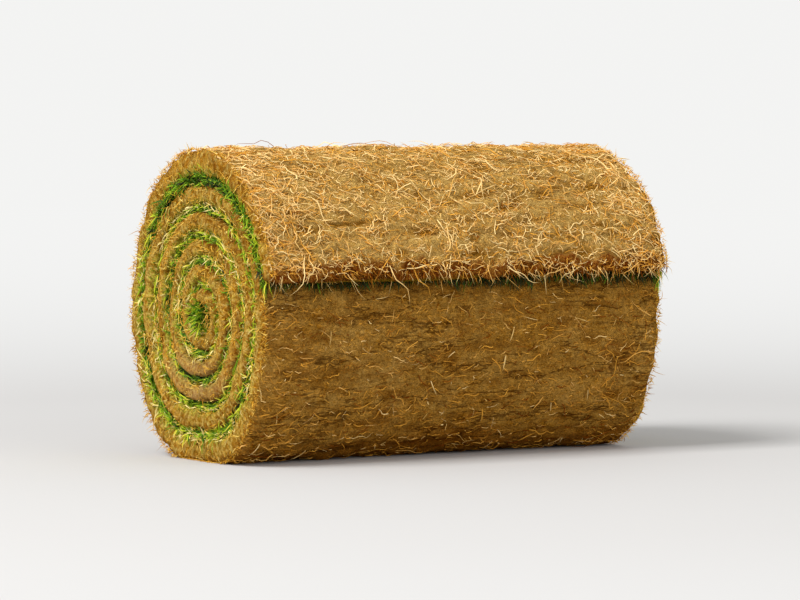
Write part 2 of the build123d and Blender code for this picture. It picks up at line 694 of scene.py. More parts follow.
@dataclass(frozen=True)
class OuterTurn:
    """The outermost turn and the free end: one closed strip, root side out, with both cut edges.

    Args:
        tucked_stages: how far the strip reaches in under the free end.
        edge_power: how square the cut edges' profiles are.
        lip_radius: length over which the free end thins to its rounded lip.
        lip_ragged: spread of the lip's uneven cut, which lip_pull limits.
        crumble: unevenness of cut soil, across in grid columns.
    """

    winding: Winding
    spacing: float = 2.15 * MM
    tucked_stages: float = 0.62
    edge_depth: float = 12 * MM
    edge_points: int = 17
    edge_power: float = 4.5
    inner_columns: int = 10
    lip_radius: float = 8 * MM
    lip_ragged: float = 2.5 * MM
    lip_pull: float = 5 * MM
    flap_wave: float = 1.6 * MM
    swells: tuple[Bumps, ...] = (Bumps(1.15 * MM, 55 * MM, 85 * MM), Bumps(0.45 * MM, 15 * MM, 24 * MM))
    mat: tuple[Bumps, ...] = (Bumps(0.55 * MM, 5.5 * MM, 16 * MM), Bumps(0.50 * MM, 4.5 * MM, 7 * MM))
    crumble: tuple[Bumps, ...] = (Bumps(0.75 * MM, 14 * MM, 6.0), Bumps(0.65 * MM, 5 * MM, 2.6))
    cracks: Cracks = Cracks()

    def columns(self) -> tuple[Array, Array, Array, Array]:
        """Works out the strip's cross-section, once round.

        Returns:
            X, the share of the way from the inner to the outer face, how much each column
            belongs to a cut edge, and the distance travelled round the section.
        """
        half, thickness = self.winding.half_width, self.winding.soil_thickness
        share, inset = edge_profile(self.edge_depth, thickness, self.edge_points, self.edge_power)
        face_count = int((2.0 * (half - self.edge_depth)) / self.spacing)
        face_x = np.linspace(-half + self.edge_depth, half - self.edge_depth, face_count)[1:-1]
        inner_x = np.linspace(half - self.edge_depth, -half + self.edge_depth, self.inner_columns + 2)[1:-1]
        x = np.concatenate([-half + inset, face_x, half - inset[::-1], inner_x])
        v = np.concatenate([share, np.ones_like(face_x), share[::-1], np.zeros_like(inner_x)])
        cut = np.where(share > 0.5, 1.0 - ramp(inset, 0.5 * MM, 5.0 * MM), 1.0)
        edge = np.concatenate([cut, np.zeros_like(face_x), cut[::-1], np.ones_like(inner_x)])
        across = np.concatenate([[0.0], np.cumsum(np.hypot(np.diff(x), np.diff(v) * thickness))])
        return x, v, edge, across

    def heights(self, rng: Chance, length: float, crumbly: Array) -> tuple[Array, Array]:
        """Relief of the root mat and of the cut edges.

        Args:
            rng: source of the unevenness.
            length: the strip's length over all rows.
            crumbly: how much each point belongs to a cut edge or to the torn lip.

        Returns:
            The broad swells, and the fine relief on them, rows by columns.
        """
        shape, width = crumbly.shape, self.winding.strip_width
        swells = uneven(rng, shape, self.swells, length, width)
        mat = uneven(rng, shape, self.mat, length, width)
        crumble = uneven(rng, shape, self.crumble, length, shape[1])
        return swells * (1.0 - crumbly), blend(mat, crumble, crumbly)

    def ragged(self, rng: Chance, columns: int) -> Array:
        """How far the lip's cut is pulled in at each column: a broad and a narrow wave added up."""
        broad, narrow = (relief(rng, (2, columns), (1, columns / size))[0] for size in (7.0, 2.5))
        return self.lip_ragged * (broad + 0.8 * narrow)

    def dryness_and_light(self, stage: Array) -> Array:
        """How far the soil has dried, from little at the front to fully on the top and the free end.

        Args:
            stage: places along the winding.

        Returns:
            A value that rises over the back, a little higher at the middle of the front and lower
            towards the underside. It is partly the soil's drying and partly painted light: the top is
            painted paler as lit from above, the middle of the front lighter, and the underside darker
            as painted shade.
        """
        front = self.winding.front_stage
        dried = 0.2 + 0.8 * self.winding.rising(stage, 2.1, 3.3)
        dried += 0.07 * (1.0 - ramp(np.abs(stage - front - 0.4), 0.1, 0.35))
        lowest = front + 1.0 + 0.5 * self.winding.flat_stage
        return dried - 0.2 * (1.0 - ramp(np.abs(stage - lowest), 0.2, 1.0))

    def build(self, rng: Chance) -> tuple[Shape, Ground]:
        """Builds the strip's grid, roughens it and closes it.

        Args:
            rng: source of its roughness.

        Returns:
            The closed strip, and how high its outer face lies.
        """
        winding = self.winding
        start = winding.front_stage - self.tucked_stages
        stage, travelled = winding.evenly(start, winding.flap_edge_stage, self.spacing)
        x, v, edge, across = self.columns()
        length = float(travelled[-1])
        to_lip = length - travelled
        stage_length = length / (winding.flap_edge_stage - start)
        pull = self.ragged(rng, len(x))[None, :] * (1.0 - ramp(to_lip, 4 * MM, 30 * MM))[:, None]
        places = stage[:, None] - np.clip(pull, -self.lip_pull, self.lip_pull) / stage_length
        thinned = np.sqrt(1.0 - np.clip(1.0 - to_lip / self.lip_radius, 0.0, 0.985) ** 2)
        v_grid = 0.5 + (v[None, :] - 0.5) * thinned[:, None]
        section = winding.within(places, v_grid)
        wave = relief(rng, (2, len(x)), (1, 5.0))[0]
        lift = self.flap_wave * wave[None, :] * (1.0 - ramp(to_lip, 0.0, 90 * MM))[:, None]
        section = section + unit(section - winding.eye) * lift[..., None]
        points = placed(x[None, :], section)
        lip = (1.0 - ramp(to_lip, 6 * MM, 13 * MM))[:, None] * np.ones_like(x)[None, :]
        swells, fine = self.heights(rng, length, np.maximum(edge[None, :], 0.6 * lip))
        fine -= self.cracks.sunk(rng, travelled, x) * (1.0 - edge)[None, :]
        heights = (swells + fine) * np.where(v[None, :] < 0.01, 0.3, 1.0)
        points = above_floor(lifted(points, heights))
        face = np.flatnonzero(v > 0.9999)
        ground = Ground(stage, x[face], (heights + lift)[:, face])
        # Painted shadow: marks the strip inside and just past the mouth under the free end, for darkening.
        painted_mouth_shade = 1.0 - ramp(stage, winding.mouth_stage, winding.mouth_stage + 0.09)
        size = points.shape[:2]
        # The soil's drying together with painted light: paler on the top, lighter at the middle of the front,
        # darker underneath.
        dry = self.dryness_and_light(stage)[:, None] + 0.045 * relief(rng, size, (12, 8))
        layers = {
            "dry": np.clip(dry, 0.0, 1.0),
            # relief: the mat's fine relief, lowered as painted shade in the mouth and on the lip's underside;
            # the finish darkens the colour by it.
            "relief": fine / MM - 2.2 * painted_mouth_shade[:, None] - 2.5 * lip * (1.0 - ramp(v, 0.25, 0.6)),
            "edge": np.broadcast_to(edge[None, :], size),
            "side": np.broadcast_to(v[None, :], size),
            "lip": lip,
            "dusty": np.zeros(size),
        }
        return tube(points, layers, unrolled(across, travelled)), ground


@dataclass(frozen=True)
class CutEdges:
    """The cut soil edges of the inner turns at one end: a rounded ribbon wound round the eye.

    Args:
        tucked_stages: how far before the front it stops, where the outermost turn has started.
        stagger: how far the turns stand in and out of the end's plane.
    """

    winding: Winding
    spacing: float = 1.9 * MM
    depth: float = 12 * MM
    points: int = 15
    power: float = 3.6
    first_stage: float = 0.9
    tucked_stages: float = 0.62
    chart_width: float = 30 * MM
    stagger: Bumps = Bumps(1.1 * MM, 90 * MM, 1.0)
    crumble: tuple[Bumps, ...] = (Bumps(0.6 * MM, 20 * MM, 1 / 5), Bumps(0.5 * MM, 7 * MM, 1 / 7))
    drying: tuple[Bumps, ...] = (Bumps(0.25, 40 * MM, 1.0),)

    @staticmethod
    def dusty(turns: Array) -> Array:
        """How smeared it is: a bell curve about the lowest place of its third and fourth turn."""
        low = np.exp(-((turns % 1.0 - 0.27) / 0.14) ** 2)
        return low * ramp(turns, 1.9, 2.2) * (1.0 - ramp(turns, 3.8, 4.1))

    def shape(self, end: End, rng: Chance) -> Shape:
        """Builds the ribbon's grid, roughens it and closes it.

        Args:
            end: the roll's end.
            rng: source of its roughness.

        Returns:
            The closed ribbon.
        """
        winding = self.winding
        stop = winding.front_stage - self.tucked_stages
        stage, travelled = winding.evenly(self.first_stage, stop, self.spacing)
        share, inset = edge_profile(self.depth, winding.soil_thickness, self.points, self.power)
        size, length = (len(stage), self.points), float(travelled[-1])
        shift = self.stagger.over(rng, (len(stage), 2), length, 1.0)[:, 0]
        x = end.value * (winding.half_width - inset[None, :] + shift[:, None])
        heights = uneven(rng, size, self.crumble, length)
        points = lifted(placed(x, winding.within(stage[:, None], share[None, :])), heights)
        layers = {
            "dusty": np.broadcast_to(self.dusty(stage / winding.turn_stages)[:, None], size),
            "dry": np.clip(uneven(rng, size, self.drying, length, mean=0.5), 0.0, 1.0),
            # relief: the edges' heights, which the finish turns into painted shade in their hollows.
            "relief": heights / MM,
            "edge": np.ones(size),
            "side": np.broadcast_to(share[None, :], size),
            "lip": np.zeros(size),
        }
        return tube(points, layers, unrolled(np.linspace(0.0, self.chart_width, self.points), travelled))


@dataclass(frozen=True)
class PressedGrass:
    """The flattened grass between the turns and in the eye, seen down in the grooves at one end.

    Args:
        inset: how deep its surface lies under the end's plane.
        overlap: how far the band reaches into the soil on both sides.
        behind_mouth: how far behind the mouth it stops, in stages.
        along: how far up a blade it counts as, for the finish.
        eye_rise: how far the middle of the cushion in the eye stands above its rim.
    """

    winding: Winding
    spacing: float = 2.4 * MM
    depth: float = 13 * MM
    inset: float = 5.8 * MM
    overlap: float = 1.2 * MM
    points: int = 9
    power: float = 3.0
    first_stage: float = 0.6
    behind_mouth: float = 0.06
    chart_width: float = 16 * MM
    strokes: tuple[Bumps, ...] = (Bumps(0.8 * MM, 7 * MM, 1 / 3), Bumps(0.5 * MM, 3 * MM, 1 / 5))
    shade: float = 0.22
    shading: tuple[Bumps, ...] = (Bumps(0.1, 9 * MM, 1 / 3), Bumps(0.1, 60 * MM, 1.0))
    along: float = 0.3
    eye_rings: int = 6
    eye_segments: int = 28
    eye_overlap: float = 2.5 * MM
    eye_rise: float = 2.5 * MM
    eye_strokes: Bumps = Bumps(0.4 * MM, 1 / 4, 1 / 9)
    eye_shade: float = 0.12

    def band(self, end: End, rng: Chance) -> Shape:
        """The ribbon of grass that winds out to the mouth under the free end.

        Args:
            end: the roll's end.
            rng: source of its roughness and of its shades.

        Returns:
            The closed ribbon.
        """
        winding = self.winding
        stop = winding.mouth_stage - self.behind_mouth
        stage, travelled = winding.evenly(self.first_stage, stop, self.spacing)
        share, drop = edge_profile(self.depth - self.inset, winding.grass_thickness, self.points, self.power)
        inner = winding.face(stage, -self.overlap)[:, None]
        outer = winding.face(stage, winding.grass_thickness + self.overlap)[:, None]
        size, length = (len(stage), self.points), float(travelled[-1])
        heights = uneven(rng, size, self.strokes, length)
        x = end.value * (winding.half_width - self.inset - drop[None, :])
        points = lifted(placed(x, blend(inner, outer, share[None, :, None])), heights)
        shade = uneven(rng, size, self.shading, length, mean=self.shade)
        chart = unrolled(np.linspace(0.0, self.chart_width, self.points), travelled)
        return tube(points, {"shade": shade, "along": np.full(size, self.along)}, chart)

    def eye(self, end: End, rng: Chance) -> Shape:
        """A low cushion of grass in the eye: a dome whose height falls with the radius squared.

        Args:
            end: the roll's end.
            rng: source of its roughness.

        Returns:
            The closed cushion, whose first ring is its foot.
        """
        winding = self.winding
        radius = winding.eye_radius + self.eye_overlap
        angle = np.linspace(0.0, 2.0 * np.pi, self.eye_segments, endpoint=False)
        ring = np.linspace(1.0, 0.04, self.eye_rings)
        out = radius * np.concatenate([[1.0], ring])
        height = np.concatenate([[-self.depth], -self.inset - self.eye_rise * ring**2])
        size = (len(out), self.eye_segments)
        x = end.value * (winding.half_width + height[:, None])
        points = placed(x, winding.round_eye(out[:, None], angle))
        points[..., 0] += end.value * self.eye_strokes.over(rng, size, 1.0, 1.0)
        layers = {"shade": np.full(size, self.eye_shade), "along": np.full(size, self.along)}
        return tube(points, layers, unrolled(angle * radius, out))

    def shape(self, end: End, rng: Chance) -> Shape:
        """The band and the eye together."""
        return Shape.joined([self.band(end, rng), self.eye(end, rng)])


# Strands: blades, roots and straw


@dataclass
class Strands:
    """Many thin strands, each a closed three-sided spine that narrows to a point.

    A strand's middle line is its root plus its length times the heading times t, plus half the
    bend times t squared, plus a wave to the side. t goes from 0 at the root to 1 at the tip.

    Args:
        headings: unit directions at the roots.
        bends: how much the direction changes on the way.
        shades: a number from 0 to 1 each, for the finish, or a little under 0 for the darkest.
        spans: pieces along a strand.
        flatness: thickness over width.
        wave: how far a strand wavers to the side, as a share of its length.
        taper: power of the narrowing towards the tip.
        narrowed: share of the width that is lost on the way.
    """

    roots: Array
    headings: Array
    bends: Array
    lengths: Array
    widths: Array
    shades: Array
    spans: int = 3
    flatness: float = 0.3
    wave: float = 0.0
    taper: float = 2.0
    narrowed: float = 0.92
    clearance: float = 0.6 * MM

    def middle_lines(self, rng: Chance) -> Array:
        """Works out the strands' middle lines, with a wave of two sines across each if there is one.

        Args:
            rng: source of the waves.

        Returns:
            Places along every strand, strands by rings by 3.
        """
        t = np.linspace(0.0, 1.0, self.spans + 1)[None, :, None]
        length = self.lengths[:, None, None]
        lines = self.roots[:, None] + length * (self.headings[:, None] * t + 0.5 * self.bends[:, None] * t**2)
        if self.wave > 0.0:
            count = len(self.roots)
            beats = rng.uniform(0.6, 1.9, (count, 2))[:, None]
            phases = rng.uniform(0.0, 2.0 * np.pi, (count, 2))[:, None]
            swing = np.sin(2.0 * np.pi * beats * t + phases) - np.sin(phases)
            side = unit(np.cross(self.headings, rng.normal(size=(count, 3))))
            other = np.cross(self.headings, side)
            lines += self.wave * length * (swing[..., :1] * side[:, None] + swing[..., 1:] * other[:, None])
        return lines

    def pattern(self) -> Array:
        """Triangles of one strand: the sides between its rings of three, the tip and the foot.

        Returns:
            Vertex numbers, ring by ring from the foot, with the tip last.
        """
        corner = np.arange(3)
        beside = (corner + 1) % 3
        level = 3 * np.arange(self.spans - 1)[:, None]
        first = np.stack([level + corner, level + beside, level + 3 + beside], axis=-1).reshape(-1, 3)
        second = np.stack([level + corner, level + 3 + beside, level + 3 + corner], axis=-1).reshape(-1, 3)
        last = 3 * (self.spans - 1)
        tip = np.stack([last + corner, last + beside, np.full(3, last + 3)], axis=-1)
        return np.concatenate([first, second, tip, [[2, 1, 0]]])

    def shape(self, rng: Chance) -> Shape:
        """Builds all strands: a ring of three points at each span, and the tip.

        Args:
            rng: source of the waves and of each strand's turn about its own line.

        Returns:
            All strands, with each vertex's shade and how far along its strand it lies.
        """
        lines = above_floor(self.middle_lines(rng), self.clearance)
        count, rings = len(lines), self.spans
        ahead = unit(np.gradient(lines, axis=1))
        side = unit(np.cross(ahead, rng.normal(size=(count, 1, 3))))
        up = np.cross(ahead, side)[:, :rings]
        side, middle = side[:, :rings], lines[:, :rings]
        t = np.linspace(0.0, 1.0, rings + 1)[:rings]
        half = 0.5 * self.widths[:, None, None] * (1.0 - self.narrowed * t**self.taper)[None, :, None]
        ring = np.stack(
            [middle + half * side, middle + 2.0 * self.flatness * half * up, middle - half * side], axis=2
        )
        points = above_floor(np.concatenate([ring.reshape(count, -1, 3), lines[:, -1:]], axis=1))
        per = points.shape[1]
        return Shape(
            points=points.reshape(-1, 3),
            triangles=(self.pattern()[None] + per * np.arange(count)[:, None, None]).reshape(-1, 3),
            layers={
                "shade": np.repeat(np.clip(self.shades, -0.3, 1.0), per),
                "along": np.tile(np.append(np.repeat(t, 3), 1.0), count),
            },
        )


@dataclass(frozen=True)
class EndGrass:
    """Blades that stick out of the grooves between the turns and out of the eye, at one end.

    Args:
        reach_out: the furthest that they stick out of the end's plane in the inner turns.
        outer_reach_out: the same in the outermost turn.
        across: mean and spread of their places across the groove, in its widths.
        outer_rise: how much less deep they are rooted in the outermost turn.
        patches: number of stretches of a shade of their own along the strip.
    """

    winding: Winding
    count: int = 6200
    first_stage: float = 1.1
    reach_out: float = 2.6 * MM
    outer_reach_out: float = 4.6 * MM
    across: Range = (0.61, 0.29)
    across_limits: Range = (-0.1, 1.32)
    depths: Range = (3 * MM, 8 * MM)
    outer_rise: float = 1 * MM
    lengths: Range = (6 * MM, 15 * MM)
    widths: Range = (0.7 * MM, 1.6 * MM)
    patches: int = 80
    eye_count: int = 260
    eye_depths: Range = (3 * MM, 7 * MM)
    eye_lengths: Range = (8 * MM, 16 * MM)
    eye_widths: Range = (1 * MM, 2.2 * MM)

    def density(self, stage: Array) -> Array:
        """How dense the blades stand: more so in the outermost turn, and again near the mouth."""
        outermost = 0.8 * self.winding.rising(stage, -4.6, -3.9)
        return 1.0 + outermost + 0.8 * self.winding.rising(stage, -1.6, -1.1)

    def shades(self, stage: Array, across: Array, rng: Chance) -> Array:
        """Shades of the blades in the grooves: paler inwards and where thatch lies on the next turn.

        Args:
            stage: the blades' places along the winding.
            across: their places across the groove.
            rng: source of the patches and of each blade's own shade.

        Returns:
            One shade each.
        """
        patches = np.interp(stage, np.linspace(0.0, 26.0, self.patches), rng.normal(0.0, 0.12, self.patches))
        faded = 0.12 * (1.0 - self.winding.rising(stage, -5.5, -2.5))
        fresh = self.winding.rising(stage, -1.7, -1.1)
        thatch = 0.62 * ramp(across, 0.45, 0.95) * (1.0 - 0.6 * fresh)
        return 0.17 + faded + thatch + patches - 0.05 * fresh + rng.normal(0.0, 0.15, self.count)

    def in_grooves(self, end: End, rng: Chance) -> Strands:
        """Blades rooted in the wound band, most of them pressed along it.

        Args:
            end: the roll's end.
            rng: source of chance.

        Returns:
            The blades, those that would stick out too far shortened.
        """
        winding, count = self.winding, self.count
        stage = winding.weighted(rng, self.first_stage, winding.mouth_stage, count, self.density)
        across = np.clip(rng.normal(*self.across, count), *self.across_limits)
        outer = winding.rising(stage, -4.4, -3.9)
        depth = rng.uniform(*self.depths, count) - self.outer_rise * outer
        place = winding.face(stage, across * winding.grass_thickness)
        along, outward = winding.directions(stage)
        out = (rng.uniform(0.05, 0.5, count) * (1.0 + 0.5 * outer))[:, None]
        headings = unit(
            end.outward * out
            + along * rng.normal(0.0, 1.0, count)[:, None]
            + outward * (rng.normal(0.0, 0.18, count) * (1.0 + 0.9 * outer))[:, None]
        )
        bends = (
            -end.outward * rng.uniform(0.1, 1.0, count)[:, None]
            + along * rng.normal(0.0, 0.6, count)[:, None]
            - 0.2 * UP
        )
        larger = 1.0 + 0.3 * outer
        lengths = rng.uniform(*self.lengths, count) * larger
        tip_out = lengths * (headings[:, 0] + 0.5 * bends[:, 0]) * end.value - depth
        most = blend(self.reach_out, self.outer_reach_out, outer)
        lengths *= np.where(tip_out > most, most / np.maximum(tip_out, 1e-6), 1.0)
        roots = placed(end.value * (winding.half_width - depth), place)
        shades = self.shades(stage, across, rng)
        return Strands(roots, headings, bends, lengths, rng.uniform(*self.widths, count) * larger, shades)

    def in_eye(self, end: End, rng: Chance) -> Strands:
        """The tuft in the eye, which leans every way.

        Args:
            end: the roll's end.
            rng: source of chance.

        Returns:
            Its blades.
        """
        winding, count = self.winding, self.eye_count
        angle = rng.uniform(0.0, 2.0 * np.pi, count)
        out = winding.eye_radius * np.sqrt(rng.uniform(0.0, 1.0, count))
        depth = rng.uniform(*self.eye_depths, count)
        roots = placed(end.value * (winding.half_width - depth), winding.round_eye(out, angle))
        sideways = rng.normal(0.0, 0.55, (count, 3)) * (1.0 - ALONG_ROLL)
        headings = unit(end.outward * rng.uniform(0.5, 1.0, count)[:, None] + sideways)
        bends = rng.normal(0.0, 0.5, (count, 3)) * [0.3, 1.0, 1.0] - 0.5 * UP
        lengths = rng.uniform(*self.eye_lengths, count)
        shades = 0.14 + rng.normal(0.0, 0.2, count)
        return Strands(roots, headings, bends, lengths, rng.uniform(*self.eye_widths, count), shades)

    def shape(self, end: End, rng: Chance) -> Shape:
        """All blades of one end."""
        return Shape.joined([self.in_grooves(end, rng).shape(rng), self.in_eye(end, rng).shape(rng)])


@dataclass(frozen=True)
class FlapGrass:
    """The fringe of grass that hangs out of the mouth under the free end.

    Args:
        behind_mouth: how far behind the mouth the blades are rooted, in stages.
        heights: how high over the turn below.
        tufts: places along the roll with a tuft's length of their own.
        shade: mean and spread of their shades, set low as painted shade because they hang in the shadow.
    """

    winding: Winding
    count: int = 2700
    margin: float = 1 * MM
    behind_mouth: Range = (0.02, 0.1)
    heights: Range = (1 * MM, 6.5 * MM)
    lengths: Range = (8 * MM, 19 * MM)
    widths: Range = (0.9 * MM, 2 * MM)
    tufts: int = 40
    tuft_lengths: Range = (0.62, 1.15)
    shade: Range = (-0.34, 0.16)

    def shape(self, rng: Chance) -> Shape:
        """Builds blades rooted inside the mouth, pointing down over the front of the body.

        Args:
            rng: source of chance.

        Returns:
            The blades.
        """
        winding, count, half = self.winding, self.count, self.winding.half_width
        stage = winding.mouth_stage - rng.uniform(*self.behind_mouth, count)
        x = rng.uniform(-half + self.margin, half - self.margin, count)
        place = winding.face(stage, rng.uniform(*self.heights, count))
        along, outward = winding.directions(stage)
        headings = unit(
            along
            + outward * rng.normal(0.02, 0.14, count)[:, None]
            + ALONG_ROLL * rng.normal(0.0, 0.38, count)[:, None]
        )
        bends = -outward * rng.uniform(0.0, 0.4, count)[:, None]
        bends += ALONG_ROLL * rng.normal(0.0, 0.4, count)[:, None]
        tufts = rng.uniform(*self.tuft_lengths, self.tufts)
        tufted = np.interp(x, np.linspace(-half, half, self.tufts), tufts)
        lengths = rng.uniform(*self.lengths, count) * tufted
        # Painted shade: the fringe is coloured dark because it hangs in the shadow of the free end.
        shades = self.shade[0] + rng.normal(0.0, self.shade[1], count)
        widths = rng.uniform(*self.widths, count)
        return Strands(placed(x, place), headings, bends, lengths, widths, shades).shape(rng)


@dataclass(frozen=True)
class OnFace:
    """Strands on the outer face, which leave it a little and bend back down to it.

    Args:
        ground: how high the outer face lies.
        settle: how much of its rise a strand's bend takes back.
        sway: spread of its bend to the side.
        body_radius: mean radius of the roll, which strands across it bend round.
    """

    winding: Winding
    ground: Ground
    settle: float = 1.7
    sway: float = 0.7
    body_radius: float = 120 * MM

    def lie(
        self, rng: Chance, stage: Array, turned: Array, rise: Array, lengths: Array, facing: Array
    ) -> tuple[Array, Array]:
        """Headings: the roll's direction by the turn's cosine, the strip's by its sine, and the rise.

        Args:
            rng: source of the bends to the side.
            stage: the strands' places along the winding.
            turned: how far each is turned away from the roll's direction, in radians.
            rise: how steeply each leaves the face.
            lengths: their lengths.
            facing: plus or minus 1, for the roll's direction or against it.

        Returns:
            The headings, and the bends that bring them back down to the face.
        """
        along, outward = self.winding.directions(stage)
        turned, rise = turned[:, None], rise[:, None]
        headings = facing[:, None] * ALONG_ROLL * np.cos(turned) + along * np.sin(turned)
        headings = unit(headings + outward * rise)
        curve = lengths[:, None] * np.sin(turned) ** 2 / self.body_radius
        sideways = np.cross(headings, outward) * rng.normal(0.0, self.sway, len(stage))[:, None]
        return headings, -outward * (self.settle * rise + curve) + sideways


@dataclass(frozen=True)
class SurfaceRoots(OnFace):
    """Fine curly roots that lie on the root side and stand off it a little.

    Args:
        skew: spread of how far they are turned away from the roll's direction, in radians.
        damp_share: how dense they lie on the damp front, beside 1 more on the dry top.
        near_ends: share of them that lies within end_reach of the roll's ends.
        past_end: how far past the ends a root may reach before it is shortened.
    """

    count: int = 2400
    mean_length: float = 17 * MM
    longest: float = 38 * MM
    widths: Range = (0.45 * MM, 1.05 * MM)
    spans: int = 6
    skew: float = 0.75
    damp_share: float = 0.28
    near_ends: float = 0.25
    end_reach: float = 45 * MM
    rise: Range = (0.02, 0.22)
    heights: Range = (-0.1 * MM, 0.8 * MM)
    past_end: float = 4 * MM
    shortened: float = 0.35

    def density(self, stage: Array) -> Array:
        """How dense the roots lie: most of them on the dry top and on the free end."""
        return self.damp_share + self.winding.rising(stage, 2.2, 3.2)

    def shape(self, rng: Chance) -> Shape:
        """Builds roots over the whole outer face.

        Args:
            rng: source of chance.

        Returns:
            The roots.
        """
        winding, count, half = self.winding, self.count, self.winding.half_width
        stage = winding.weighted(rng, winding.body_start, winding.flap_edge_stage, count, self.density)
        by_end = either_way(rng, count) * (half - rng.uniform(0.0, self.end_reach, count))
        x = rng.uniform(-half, half, count)
        x = np.where(rng.uniform(size=count) < self.near_ends, by_end, x)
        third = self.mean_length / 3.0
        lengths = rng.gamma(3.0, third, count).clip(third, self.longest)
        dried = winding.rising(stage, 1.8, 3.0)
        turned = rng.normal(0.0, self.skew, count) * (0.6 + 0.4 * dried)
        facing = either_way(rng, count)
        rise = rng.uniform(*self.rise, count)
        headings, bends = self.lie(rng, stage, turned, rise, lengths, facing)
        reach = np.abs(x + lengths * (headings[:, 0] + 0.5 * bends[:, 0]))
        lengths *= np.where(reach > half + self.past_end, self.shortened, 1.0)
        place = winding.face(stage, self.ground.at(stage, x) + rng.uniform(*self.heights, count))
        shades = 0.38 + 0.36 * dried + rng.normal(0.0, 0.24, count)
        widths = rng.uniform(*self.widths, count)
        form = {"spans": self.spans, "flatness": 0.7, "wave": 0.06, "taper": 3.0}
        return Strands(placed(x, place), headings, bends, lengths, widths, shades, **form).shape(rng)


@dataclass(frozen=True)
class EdgeFibres:
    """Short torn fibres on the cut soil edges, round the rims and along the free end's lip.

    Args:
        pale_share: one in so many of them has a long pale one beside it.
        sunk: how deep under the surface the fibres on an end are rooted.
    """

    winding: Winding
    face_count: int = 2300
    face_lengths: Range = (2.5 * MM, 8 * MM)
    rim_count: int = 1300
    rim_lengths: Range = (1.5 * MM, 4.8 * MM)
    lip_count: int = 1900
    lip_lengths: Range = (2.5 * MM, 8 * MM)
    pale_share: int = 8
    pale_lengths: Range = (5 * MM, 15 * MM)
    widths: Range = (0.35 * MM, 0.85 * MM)
    sunk: float = 0.6 * MM

    def strands(
        self, rng: Chance, points: Array, headings: Array, lengths: Range, shade: float
    ) -> Shape:
        """Fibres from given roots and headings, bent at random.

        Args:
            rng: source of chance.
            points: where they are rooted.
            headings: their directions, of any length.
            lengths: their least and greatest length.
            shade: the mean of their shades.

        Returns:
            The fibres.
        """
        count = len(points)
        fibres = Strands(
            roots=points,
            bends=rng.normal(0.0, 0.75, (count, 3)),
            headings=unit(headings),
            lengths=rng.uniform(*lengths, count),
            widths=rng.uniform(*self.widths, count),
            shades=shade + rng.normal(0.0, 0.22, count),
            flatness=0.6,
        )
        return fibres.shape(rng)

    def on_end(self, end: End, rng: Chance) -> Shape:
        """Fibres over the soil bands of one end, and round its rim.

        Args:
            end: the roll's end.
            rng: source of chance.

        Returns:
            The fibres.
        """
        winding, half = self.winding, self.winding.half_width
        stage = winding.scattered(rng, 1.0, winding.flap_edge_stage - 0.02, self.face_count)
        place = winding.within(stage, rng.uniform(0.02, 1.0, self.face_count))
        along, outward = winding.directions(stage)
        spread = rng.normal(0.0, 0.9, (self.face_count, 2))
        outermost = winding.rising(stage, -0.5, 0.0)[:, None]
        wound = along * spread[:, :1] * (1.3 - 0.9 * outermost)
        headings = end.outward * 0.4 + wound + outward * spread[:, 1:] * (0.35 + 0.75 * outermost)
        points = placed(end.value * (half - self.sunk), place)
        face = self.strands(rng, points, headings, self.face_lengths, 0.58)
        stage = winding.scattered(rng, winding.front_stage - 0.15, winding.flap_edge_stage, self.rim_count)
        along, outward = winding.directions(stage)
        inset = rng.uniform(0.5 * MM, 4 * MM, self.rim_count)
        points = placed(end.value * (half - inset), winding.face(stage, -self.sunk))
        lean = rng.normal(0.0, 0.7, (self.rim_count, 2))
        headings = end.outward * (0.5 + lean[:, :1]) + outward * 0.6 + along * lean[:, 1:]
        return Shape.joined([face, self.strands(rng, points, headings, self.rim_lengths, 0.5)])

    def on_lip(self, rng: Chance) -> Shape:
        """Fibres that hang from the free end's torn lip.

        Args:
            rng: source of chance.

        Returns:
            The fibres, the long pale ones after the others.
        """
        winding, count, half = self.winding, self.lip_count, self.winding.half_width
        stage = winding.flap_edge_stage - rng.uniform(0.0, 0.05, count)
        x = rng.uniform(-half, half, count)
        points = placed(x, winding.within(stage, rng.uniform(0.1, 1.0, count)))
        along, outward = winding.directions(stage)
        lean = rng.normal(0.0, 0.55, (count, 2))
        headings = along + outward * (0.12 + lean[:, :1] * 0.6) + ALONG_ROLL * lean[:, 1:]
        short = self.strands(rng, points, headings, self.lip_lengths, 0.06)
        few = rng.integers(0, count, count // self.pale_share)
        return Shape.joined([short, self.strands(rng, points[few], headings[few], self.pale_lengths, 0.85)])


